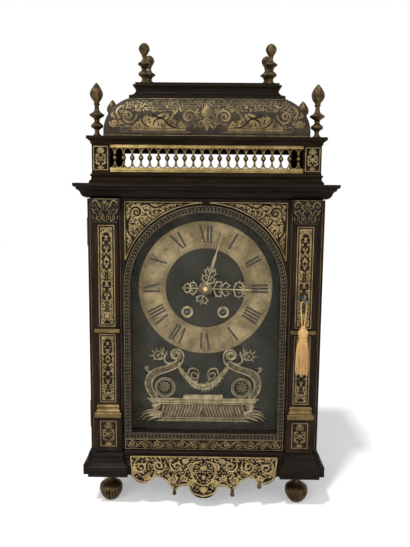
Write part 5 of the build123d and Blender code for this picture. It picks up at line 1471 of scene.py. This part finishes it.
@dataclass
class Pilasters:
    """Inlaid panels of the pilasters, pedestals and gallery posts, and chased capitals."""

    x: float = 124.0
    shaft_y: float = -72.5
    pedestal_y: float = -74.5
    post_x: float = 131.3
    post_y: float = -62.8

    def panel(self, made: Ornament, edge: Ornament | None, low: Point, high: Point, weight: float) -> None:
        """Draw one upright panel: an arabesque in its middle and, where there is one, a border round it."""
        (x0, z0), (x1, z1) = low, high
        made.place(candelabrum(x1 - x0 - 2.4, z1 - z0 - 2.6, weight), (x0 + x1) / 2, z0 + 1.3)
        if edge:
            edge.frame((x0 + 0.5, z0 + 0.5), (x1 - 0.5, z1 - 0.5), 0.5)

    @staticmethod
    def dapple(made: Ornament, low: Point, high: Point) -> None:
        """Set small leaves in the open ground of a shaft's panel, alike on both sides."""
        middle = (low[0] + high[0]) / 2
        there = Ornament()
        there.strokes = [stroke for stroke in made.strokes if abs(stroke.line[0][0] - middle) < 12
                         and low[1] - 2 < stroke.line[0][1] < high[1] + 2]
        count = len(there.strokes)
        there.fill(lambda x, z: middle + 1.6 < x < high[0] - 1.0 and low[1] + 1.4 < z < high[1] - 1.4,
                   (middle, low[1]), high, 2.6, 3.2, 0.75, 0.55, 3)
        half = Ornament()
        half.strokes = there.strokes[count:]
        made.pair(half, middle)

    def shafts(self) -> None:
        """Inlay the four tall panels in dark figures on a brass ground."""
        dark, border, sheets = Ornament(), Ornament(), []
        for side in SIDES:
            for z0, z1 in ((140.5, 231), (240.6, 369.5)):
                (x0, z0), (x1, z1) = low, high = (side * self.x - 7.5, z0 + 3), (side * self.x + 7.5, z1 - 3)
                sheets.append(sheet("shaft_sheet", [(x0, z0), (x1, z0), (x1, z1), (x0, z1)], self.shaft_y - 0.07))
                self.panel(dark, None, (x0 - 0.6, z0 - 0.4), (x1 + 0.6, z1 + 0.4), 1)
                self.dapple(dark, low, high)
                border.frame((x0 - 2.3, z0 - 2.3), (x1 + 2.3, z1 + 2.3), 0.5)
        dress(join("shaft_ground", sheets), "front_door", INLAY, "gilt_brass")
        lay = upright(self.shaft_y - 0.1)
        dark.fit("shaft_arabesque", "front_door", SHELL, 0.05, lay, sides=0, slot="inlaid_wood")
        border.fit("shaft_border", "front_door", INLAY, 0.05, lay, sides=0)

    def build(self) -> None:
        """Inlay the panels and dress the capitals."""
        self.shafts()
        figure, edge, post = Ornament(), Ornament(), Ornament()
        for side in SIDES:
            self.panel(figure, edge, (side * self.x - 10.6, 82), (side * self.x + 10.6, 116.5), 0.62)
            self.panel(post, post, (side * self.post_x - 9.2, 437), (side * self.post_x + 9.2, 466.5), 0.7)
        for name, drawn in (("pedestal_figure", figure), ("pedestal_border", edge)):
            drawn.fit(name, "front_door", INLAY, 0.12, upright(self.pedestal_y + 0.01))
        post.fit("post_inlay", "case", INLAY, 0.12, upright(self.post_y + 0.01))
        self.capitals()

    def capitals(self) -> None:
        """Chase two rows of leaves, corner volutes and a flower on each capital."""
        half, right = Ornament(), Ornament()
        right.curve([(0.5, 374.6), (4.2, 377.6), (3.2, 382.2), (5.6, 385.6), (3.6, 388.2), (0.6, 387)],
                    [0.4, 0.65, 0.5, 0.75, 0.5, 0.3], 5)
        right.curve([(6.4, 374.6), (11, 377), (10.4, 382.4), (14.2, 385), (12.6, 388.4), (9.4, 387)],
                    [0.4, 0.65, 0.5, 0.8, 0.6, 0.35], 5)
        right.curve([(6.6, 375), (6, 381), (8.4, 386), (9.8, 391)], [0.35, 0.5, 0.45, 0.4], 4)
        right.curve([(3, 389.6), (7.2, 393), (8, 397), (11.6, 399.4), (15.2, 396.8), (14.4, 392.8),
                     (11.4, 393.2), (12.2, 396)], [0.4, 0.7, 0.8, 0.9, 0.8, 0.65, 0.5, 0.4], 5)
        right.curve([(1.4, 389), (1.8, 393.4), (4.8, 395.8), (6.2, 393.2), (4.2, 392.2)],
                    [0.4, 0.6, 0.6, 0.5, 0.35], 4)
        right.leaf(14.6, 386, 62, 5.4, 0.9, -60).leaf(0.8, 377, 78, 7, 0.55, 20)
        right.leaf(8, 377, 74, 6, 0.5, 30).leaf(14.6, 376, 84, 6.4, 0.55, 20)
        half.pair(right)
        half.bar((-15.8, 401.2), (15.8, 401.2), 0.4)
        for index in range(6):
            half.leaf(0, 397, math.degrees(TAU * index / 6), 3.6, 0.85)
        half.dot(0, 397, 0.9)
        for index in range(13):
            half.dot(-13.2 + 2.2 * index, 373, 0.6)
        made = Ornament()
        for side in SIDES:
            made.place(half, side * self.x, 0)

        steps = ((371.5, 1.6), (373.9, 1.6), (375.1, 0.4), (385.5, 1.9), (393.5, 4.3), (397, 5), (402, 5))

        def lay(x: float, z: float, h: float) -> Vector:
            z_in = min(max(z, steps[0][0]), steps[-1][0])
            reach = next(a[1] + (b[1] - a[1]) * (z_in - a[0]) / (b[0] - a[0])
                         for a, b in zip(steps, steps[1:]) if z_in <= b[0])
            return Vector((x, self.pedestal_y - 0.35 - reach - h, z))

        made.fit("capital_leaves", "front_door", CAPITAL_GILT, 0.8, lay)


# ---- case


@dataclass
class Gallery:
    """Turned balusters that branch into arches, between the brass rails."""

    count: int = 22
    pitch: float = 10.9
    y: float = -57.8
    low: float = 440.5
    boss_z: float = 452.65

    def build(self) -> None:
        """Make the row of balusters and the arches between them, with painted shade in the thick dark arches and
        painted highlights in the gilt lines along them.
        """
        half = [(0.5, self.low - self.boss_z), (0.5, -6.8), (0.7, -4.6), (1.5, -4), (1.1, -3.4), (2.2, -2.5),
                (3, -1), (3.1, 0)]
        pattern = lathe("baluster", half + [(radius, -height) for radius, height in half[-2::-1]], 12)
        columns = [(index - (self.count - 1) / 2) * self.pitch for index in range(self.count)]
        row = repeat("baluster_row", pattern, [
            Matrix.Translation(Vector((x, self.y, self.boss_z)) * MM) for x in columns])
        # The arches are thick dark strokes, painted shade in the web between the ovals; the thin gilt lines and dots
        # over them are painted highlights on the arches' edges and on the bosses.
        arches, lines = Ornament(), Ornament()
        for x in columns:
            lines.dot(x, self.boss_z, 1.5)
            for side in SIDES:
                for up in SIDES:
                    spread = [(x + side * reach, self.boss_z + up * rise)
                              for reach, rise in ((0.4, 3.2), (0.7, 6.6), (1.4, 9.4), (2.9, 11.3), (5.45, 12.2))]
                    arches.curve(spread, [0.7, 0.8, 0.9, 0.9, 0.8], 4)
                    lines.curve(spread, [0.3, 0.3], 4)
        arches_and_shade = arches.cut("baluster_arches_and_shade", 1, upright(self.y))
        dress(join("balustrade", [row, arches_and_shade]), "case", BROWN_BRASS, "gilt_brass", "balusters")
        # Bright gilt copies of the arcs and bosses, in front and behind: painted highlights.
        faces = [lines.cut("baluster_highlights", 0.6, lambda x, z, h, side=side: Vector(
            (x, self.y + side * (2.6 if abs(z - self.boss_z) < 2 else 0.75) + side * h, z))) for side in SIDES]
        dress(join("baluster_highlights", faces), "case", GILT, "gilt_brass")


@dataclass
class Finials:
    """Flames on the gallery's corners and eggs on the plateau's, chased after turning."""

    corner_x: float = 136.5
    corner_y: float = 55.7
    corner_z: float = 478.5
    top_x: float = 80.5
    top_y: float = 29.0
    top_z: float = 548.0

    def flame(self) -> Piece:
        """A corner finial: base, disc, ball and a twisted flame."""
        profile = [(5.5, 0), (5.5, 1.4), (4.2, 2.4), (3, 4.6), (2.9, 7.4), (4.4, 9.6), (7, 11.2), (7.4, 12.8),
                   (6.9, 14.4), (4.6, 16.4), (3.1, 18.4), (3.1, 19.6), (4.2, 20.4), (3.2, 21.2), (5.6, 23),
                   (9, 25.4), (9.2, 26.4), (8.6, 27.2), (5, 29.4), (3.1, 32.4), (2.7, 36), (2.9, 38),
                   (4.2, 39.2), (3.2, 40.4), (3.7, 42.2), (5.8, 45.2), (7.4, 49), (7.7, 51.5), (7, 54.6),
                   (5.4, 58), (3.4, 61.2), (1.4, 63.8), (0, 65)]

        def lobe(z: float, angle: float) -> float:
            if z > 41.5:
                return 1.0 + 0.085 * math.cos(7 * angle + (z - 41) * 0.16) * min(1, (z - 41.5) / 5)
            return 1.0 + 0.035 * math.cos(16 * angle) if 8.8 < z < 17.4 or 21.4 < z < 25.2 else 1.0

        return self.turned("flame", profile, lobe)

    def egg(self) -> Piece:
        """A top finial: base, ball, disc and an egg with rows of leaves."""
        profile = [(5.6, 0), (5.6, 1.4), (4.4, 2.6), (3.4, 4.4), (3.3, 6.6), (4.8, 8.6), (7, 10.4), (7.5, 11.8),
                   (7, 13.2), (4.8, 15.2), (3.2, 17), (3.3, 18.2), (4.4, 19), (3.6, 19.8), (5.6, 21.6),
                   (8.1, 23.4), (8.2, 24.4), (7.6, 25.2), (4.6, 27.2), (2.8, 29.8), (2.4, 32.4), (3.4, 34),
                   (2.9, 34.8), (4.6, 37), (6.4, 40.4), (6.9, 43), (6.2, 45.6), (4.4, 48), (1.8, 49.7),
                   (0, 50)]

        def lobe(z: float, angle: float) -> float:
            if z > 35:
                row = (z - 35) / 3.7
                shift = math.pi / 8 * (int(row) % 2)
                return 1.0 + 0.06 * abs(math.sin(4 * angle + shift * 4)) * math.sin(math.pi * (row % 1)) - 0.02
            return 1.0 + 0.035 * math.cos(16 * angle) if 8.0 < z < 15.6 else 1.0

        return self.turned("egg", profile, lobe)

    @staticmethod
    def turned(name: str, profile: Sequence[Point], lobe: Callable[[float, float], float]) -> Piece:
        """Turn a profile and chase it by a rule of height and angle."""
        piece = lathe(name, smooth_profile(profile, 2), 40)
        return tidy(press(piece, lobe), 50)

    def build(self) -> None:
        """Make all eight."""
        for name, pattern, place, node in (
                ("flame_finials", self.flame(), (self.corner_x, self.corner_y, self.corner_z), "corner_finials"),
                ("egg_finials", self.egg(), (self.top_x, self.top_y, self.top_z), "top_finials")):
            piece = repeat(name, pattern, corners(*place))
            dress(piece, "case", BROWN_BRASS, "gilt_brass", node)


@dataclass
class Feet:
    """Turned feet with gadroons round their lower half."""

    x: float = 125.0
    y: float = 54.5

    def build(self) -> None:
        """Make the four feet."""
        profile = [(6, 0), (7.2, 0.3), (8.6, 1.4), (11.4, 4.6), (13.8, 8.8), (15.1, 13.2), (15.4, 16),
                   (15.1, 18.4), (14, 20.8), (11.4, 23), (8.4, 24.6), (6, 26.6), (4.4, 28.8), (3.7, 30.6),
                   (3.6, 34.6), (4.4, 35.8), (6.4, 37), (6.6, 38.2), (6, 39.2), (8.6, 40.4), (10.9, 41.4),
                   (11, 44.4), (0, 44.4)]
        pattern = lathe("foot", [(0, 0), *smooth_profile(profile, 3)], 144)

        def lobe(z: float, angle: float) -> float:
            if not 1.0 < z < 18.6:
                return 1.0
            depth = 0.3 * math.sin(math.pi * min(1, (z - 1) / 17.6) ** 1.2)
            return 1.0 - depth * (1.0 - abs(math.cos(11 * angle)) ** 0.45)

        tidy(press(pattern, lobe), 60)
        feet = repeat("gadrooned_feet", pattern, corners(self.x, self.y, 0))
        dress(feet, "case", BROWN_BRASS, "gilt_brass", "feet")


@dataclass
class Apron:
    """Pierced scrollwork over the dark apron under the plinth."""

    y: float = -79.5
    top: float = 72.5
    half: float = 97.0
    drop: float = 58.0

    def at(self, share_x: float, share_z: float) -> Point:
        """A point from its shares of the half width and of the drop."""
        return share_x * self.half, self.top - share_z * self.drop

    def build(self) -> None:
        """Chase the apron's edge, cartouche, shell and scrolls."""
        edge = [(0.975, 0.03), (0.95, 0.44), (0.895, 0.575), (0.76, 0.63), (0.64, 0.475), (0.515, 0.56), (0.45, 0.66),
                (0.39, 0.8), (0.3, 0.69), (0.2, 0.695), (0.145, 0.87), (0, 0.955)]
        half = Ornament()
        half.curve([self.at(*point) for point in edge], [1, 1.2, 1.3, 1.1, 1.2, 1.1, 1.3], 6)
        half.curve([self.at(x * 0.95, z - 0.085) for x, z in edge[1:-1]], [0.5, 0.55, 0.5], 6)
        half.bar(self.at(0, 0.025), self.at(0.975, 0.03), 0.8)
        for (x, z), radius, start, hand in (((0.84, 0.27), 9.4, 60, Hand.RIGHT), ((0.60, 0.24), 8.6, 200, Hand.LEFT),
                                            ((0.36, 0.24), 8.4, 30, Hand.RIGHT), ((0.42, 0.56), 6.4, 90, Hand.LEFT),
                                            ((0.76, 0.50), 4.6, 10, Hand.RIGHT), ((0.27, 0.52), 5, 160, Hand.LEFT),
                                            ((0.93, 0.40), 4, 200, Hand.RIGHT), ((0.25, 0.12), 3.8, 120, Hand.LEFT)):
            half.place(tendril(radius * 1.1, hand, start, 1.15), *self.at(x, z))
        leaves = ((0.48, 0.42, 250, 10), (0.42, 0.70, 235, 6), (0.72, 0.12, 20, 9), (0.68, 0.44, 200, 8),
                  (0.47, 0.1, 190, 9), (0.90, 0.1, 150, 8), (0.22, 0.60, 240, 8), (0.52, 0.30, 110, 8))
        half.twins(((*self.at(x, z), turn, length) for x, z, turn, length in leaves), 1.2, 40, 32, 0.75, 1)
        half.curve([self.at(*point) for point in ((0.02, 0.12), (0.13, 0.18), (0.16, 0.4), (0.1, 0.62), (0, 0.7))],
                   [1, 1.5, 1.6, 1.4, 1], 6)
        half.scroll(*self.at(0.17, 0.26), 5, 1.4, 120, 1.2, [1, 1.4, 0.8], Hand.RIGHT, 1.4)
        half.scroll(*self.at(0.15, 0.62), 4.6, 1.3, 250, 1.2, [1, 1.3, 0.8], Hand.LEFT, 1.3)
        made = Ornament().pair(half)
        for count, z, first, pitch, length, fall, width in ((4, 0.74, -90, 18, 10.5, 0.8, 1.5),
                                                            (3, 0.34, 90, 20, 9.6, 0.9, 1.4)):
            for index in range(-count, count + 1):
                made.leaf(*self.at(0, z), first + index * pitch, length - abs(index) * fall, width)
        made.dot(*self.at(0, 0.5), 3.4)
        outline = [self.at(x, z) for x, z in [(0, 0.02), *edge]]

        def inside(x: float, z: float) -> bool:
            across = abs(x)
            if z > self.top - 2.2 or across > self.half * 0.95:
                return False
            floor = next((a[1] + (b[1] - a[1]) * (across - a[0]) / (b[0] - a[0] or 1)
                          for a, b in zip(outline[:0:-1], outline[-2:0:-1]) if a[0] <= across <= b[0]), self.top)
            return z > floor + 2.4

        made.fill(inside, (-95, self.at(0, 1)[1]), (95, self.top), 3.2, 4.4, 0.9, 0.75, 9)
        made.fit("apron_relief", "case", APRON_GILT, 0.6, upright(self.y + 0.2))
        self.drops()

    def drops(self) -> None:
        """Hang the three turned drops from the edge."""
        profile = ((0, 0.2), (1.5, 0), (1.6, -2.6), (1.9, -3.4), (1.6, -4.2), (2.2, -5.6), (2, -7.4), (0.9, -8),
                   (0, -8.2))
        drops = []
        for x, z, size in ((-0.39, 0.80, 1.15), (0.39, 0.80, 1.3), (0.75, 0.60, 1.3)):
            scaled = [(radius * size, height * (size if radius or height < 0 else 1)) for radius, height in profile]
            drop = lathe("drop", smooth_profile(scaled, 3), 20)
            px, pz = self.at(x, z)
            drops.append(move(drop, Vector((px, self.y + 1, pz + 1.5)) * MM))
        dress(join("apron_drops", drops), "case", DARK_GILT, "gilt_brass")


@dataclass
class DomeInlay:
    """Dull brass scrolls and long framed strips on the front of the dome."""

    base: float = 481.5
    middle: float = 509.53
    top: float = 527.5
    low_w: float = 128.0
    top_w: float = 97.0
    low_d: float = 60.5
    middle_d: float = 56.745
    top_d: float = 46.0

    ground_z: float = 485.6

    def depth(self, z: float) -> float:
        """How far in front of the middle the dome's face is at a height: an arc through three points."""
        z = min(max(z, self.base), self.top)
        (ax, ay), (bx, by), (cx, cy) = ((self.low_d, self.base), (self.middle_d, self.middle), (self.top_d, self.top))
        twice = 2 * (ax * (by - cy) + bx * (cy - ay) + cx * (ay - by))
        a, b, c = ax * ax + ay * ay, bx * bx + by * by, cx * cx + cy * cy
        mid_y = (a * (by - cy) + b * (cy - ay) + c * (ay - by)) / twice
        mid_z = (a * (cx - bx) + b * (ax - cx) + c * (bx - ax)) / twice
        radius = math.hypot(ax - mid_y, ay - mid_z)
        return mid_y + math.sqrt(max(radius * radius - (z - mid_z) ** 2, 0))

    def panels(self, lay: Rule) -> None:
        """Lay the two brass grounds beside the middle and the dark figures on them."""
        points, faces, rows, columns = [], [], 14, 26
        for side in SIDES:
            for column in range(columns + 1):
                share = column / columns
                top = 491.0 + (14.0 + 3.0 * math.cos(16.0 * share)) * math.sin(
                    math.pi * min(1, share * 1.04)) ** 0.7
                start = len(points)
                for row in range(rows + 1):
                    z = self.ground_z + (top - self.ground_z) * row / rows
                    points.append(lay(side * (26.0 + 68.0 * column / columns), z, 0.02) * MM)
                if column:
                    for row in range(rows):
                        ring = [start - rows - 1 + row, start + row, start + row + 1, start - rows + row]
                        faces.append(ring if side > 0 else ring[::-1])
        ground = new("dome_grounds", points, faces)
        apply(ground, "SOLIDIFY", thickness=0.08 * MM, offset=-1)
        dress(tidy(ground, 60), "case", DULL_INLAY, "gilt_brass")
        half = Ornament()
        half.curve([(34, 490.6), (41, 490), (47.6, 493.6), (52.4, 499), (58, 500.6), (64.4, 497.4),
                    (66, 491.6)], [0.7, 1.3, 1.8, 1.5, 1.3, 1.5, 0.8], 6)
        half.curve([(50, 505.6), (55, 501.6), (62, 502.4), (68, 506)], [1, 1.8, 1.6, 0.8], 5)
        half.curve([(70.6, 489.8), (76.6, 492.6), (80.6, 499), (77.6, 504.6)], [0.8, 1.3, 1.2, 0.6], 5)
        half.twins(((38, 492, 110, 8), (44, 493, 100, 9), (49, 497, 120, 8), (34, 495, 60, 8), (70, 494, 80, 8),
                    (84, 490, 110, 7), (73, 499, 120, 7), (60, 491.6, 100, 6), (54.6, 490, 80, 7)),
                   1.1, 50, 50, 0.6, 0.8)
        half.bar((27, 488.6), (93, 488.6), 0.45)
        half.fill(lambda x, z: 31 < x < 88 and 490.5 < z < 500, (30, 490), (90, 502), 3.6, 4.6, 0.8, 0.9, 8)
        Ornament().pair(half.thinned(0.75)).fit("dome_figures", "case", SHELL, 0.05,
                                                lambda x, z, h: lay(x, z, h + 0.12), slot="inlaid_wood")

    def build(self) -> None:
        """Lay the inlay on the curved front."""
        made, half = Ornament(), Ornament()
        half.scroll(22, 503, 10.6, 2.2, 200, 1.6, [1.1, 1.7, 1.4, 0.9], Hand.RIGHT, 1.9)
        half.curve([(31, 497.4), (37, 494), (43, 497.6), (42, 505), (36.6, 510.6), (39, 517),
                    (46, 518.6)], [1, 1.3, 1.6, 1.5, 1.2, 1.1, 0.7], 6)
        half.scroll(97, 503.6, 10.4, 2, 170, 1.6, [1, 1.5, 1.2, 0.8], Hand.LEFT, 1.7)
        half.scroll(114.6, 494.6, 5.6, 1.4, 20, 1.5, [1, 1.5, 1], Hand.RIGHT, 1.5)
        half.curve([(107, 500.6), (112, 507.6), (108.6, 514.6), (102.6, 517.8)], [1.2, 1.5, 1.2, 0.6], 5)
        half.twins(((13.6, 507, 120, 9), (30.4, 508.6, 60, 9), (47.6, 503, 40, 8), (56, 502, 130, 8),
                    (69.6, 499, 50, 8), (81.6, 510, 20, 9), (86.6, 496, 200, 9), (104.6, 496, -20, 9),
                    (90, 515, 150, 8), (51, 514, 130, 8), (64.6, 494.8, 10, 8), (118, 502, 110, 8)),
                   1.7, 50, 44, 0.7, 1.3)
        half.bar((20, 484), (106, 484), 0.4)
        half.frame((96.5, 486), (106, 490), 0.4)
        made.pair(half)
        made.place(palmette(14, 14, 1.7), 0, 507)
        made.place(husks(494, 12, 7, 1.5))
        made.leaf(0, 494, -90, 9, 2.4)
        for side in SIDES:
            made.leaf(side * 2, 494, -90 + side * 52, 9.5, 1.7, -side * 40)
            made.leaf(side * 2, 497, side * 16 + (180 if side < 0 else 0), 7.5, 1.5, side * 60)

        def inside(x: float, z: float) -> bool:
            return 491 < z < 524 and abs(x) < 122 - (z - 491) * 0.7 and not (26 < abs(x) < 92 and z < 509)

        made.fill(inside, (-122, 491), (122, 524), 3.3, 4.4, 0.8, 0.8, 7)

        def lay(x: float, z: float, h: float) -> Vector:
            return Vector((x, -self.depth(z) - h - 0.03, z))

        self.panels(lay)
        made.fit("dome_inlay", "case", DULL_INLAY, 0.12, lay)
        rims = Ornament()
        for z, width in ((480, self.low_w), (526.8, self.top_w)):
            rims.bar((-width + 1, z), (width - 1, z), 0.5)
        rims.fit("dome_rims", "case", DULL_INLAY, 0.5, lambda x, z, h: Vector((x, -self.depth(z) - h, z)))


@dataclass
class RailBead:
    """The bead of brass under the gallery's lower rail."""

    y: float = -60.9
    z: float = 437.75
    half_w: float = 122.0
    radius: float = 1.2

    def build(self) -> None:
        """Lay the bead."""
        bead = Ornament().bar((-self.half_w, self.z), (self.half_w, self.z), self.radius)
        bead.fit("rail_bead", "case", GILT, 0.6, upright(self.y))


class Case:
    """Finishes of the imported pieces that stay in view."""

    table: tuple[tuple[Finish, str], ...] = (
        (EBONISED_ACROSS, "plinth main_cornice plateau"),
        (EBONISED, "case_sides door_frame pilasters back_door"),
        (SHELL, "brass_veneers apron"),
        (GALLERY_BLACK, "gallery_frame gallery_cornice gallery_base"),
        (DOME_SHELL, "dome"),
        (OAK, "case_floor top_board dial_frame seat_board"),
        (GILT, "gallery_rails"),
        (BAND_BRASS, "pilaster_mounts case_hinges door_hinges back_hinges back_button"),
        (MOUNT_GILT, "winding_collars"),
        (BLACKENED, "bezel capitals"),
        (RING_BRASS, "chapter_ring"),
        (DIAL_GROUND, "dial_plate"),
        (WHEEL_BRASS, "movement_plates pillars going_barrel strike_barrel centre_wheel third_wheel escape_wheel "
         "cannon_pinion minute_wheel hour_wheel strike_wheel bell back_cock pendulum_bob"),
        (STEEL, "lock_case lock_bolt key going_winder strike_winder hammer anchor pendulum_rod"),
    )

    def __init__(self, nodes: dict[str, Piece]) -> None:
        """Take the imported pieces.

        Args:
            nodes: node name to object.
        """
        self.nodes = nodes

    def build(self) -> None:
        """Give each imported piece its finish, and the door its glass."""
        for finish, names in self.table:
            for name in names.split():
                self.paint(name, finish.material())
        self.paint("door_glass", clear_glass())

    def paint(self, name: str, material: bpy.types.Material) -> None:
        """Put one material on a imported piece."""
        piece = self.nodes[name]
        piece.data.materials.clear()
        piece.data.materials.append(material)


def main() -> None:
    """Build the looks of the clock in order."""
    logging.basicConfig(level=logging.INFO, format="%(name)s %(message)s")
    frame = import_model()
    Studio().build()
    Tassel().build()
    Case(frame["nodes"]).build()
    for part in (Dial(), Hands(), DialMount(), Bezel(), Marquetry(), Pilasters(), Gallery(), Finials(), Feet(),
                 Apron(), DomeInlay(), RailBead()):
        part.build()
        LOG.info("%s done", type(part).__name__)


if __name__ == "__main__":
    main()
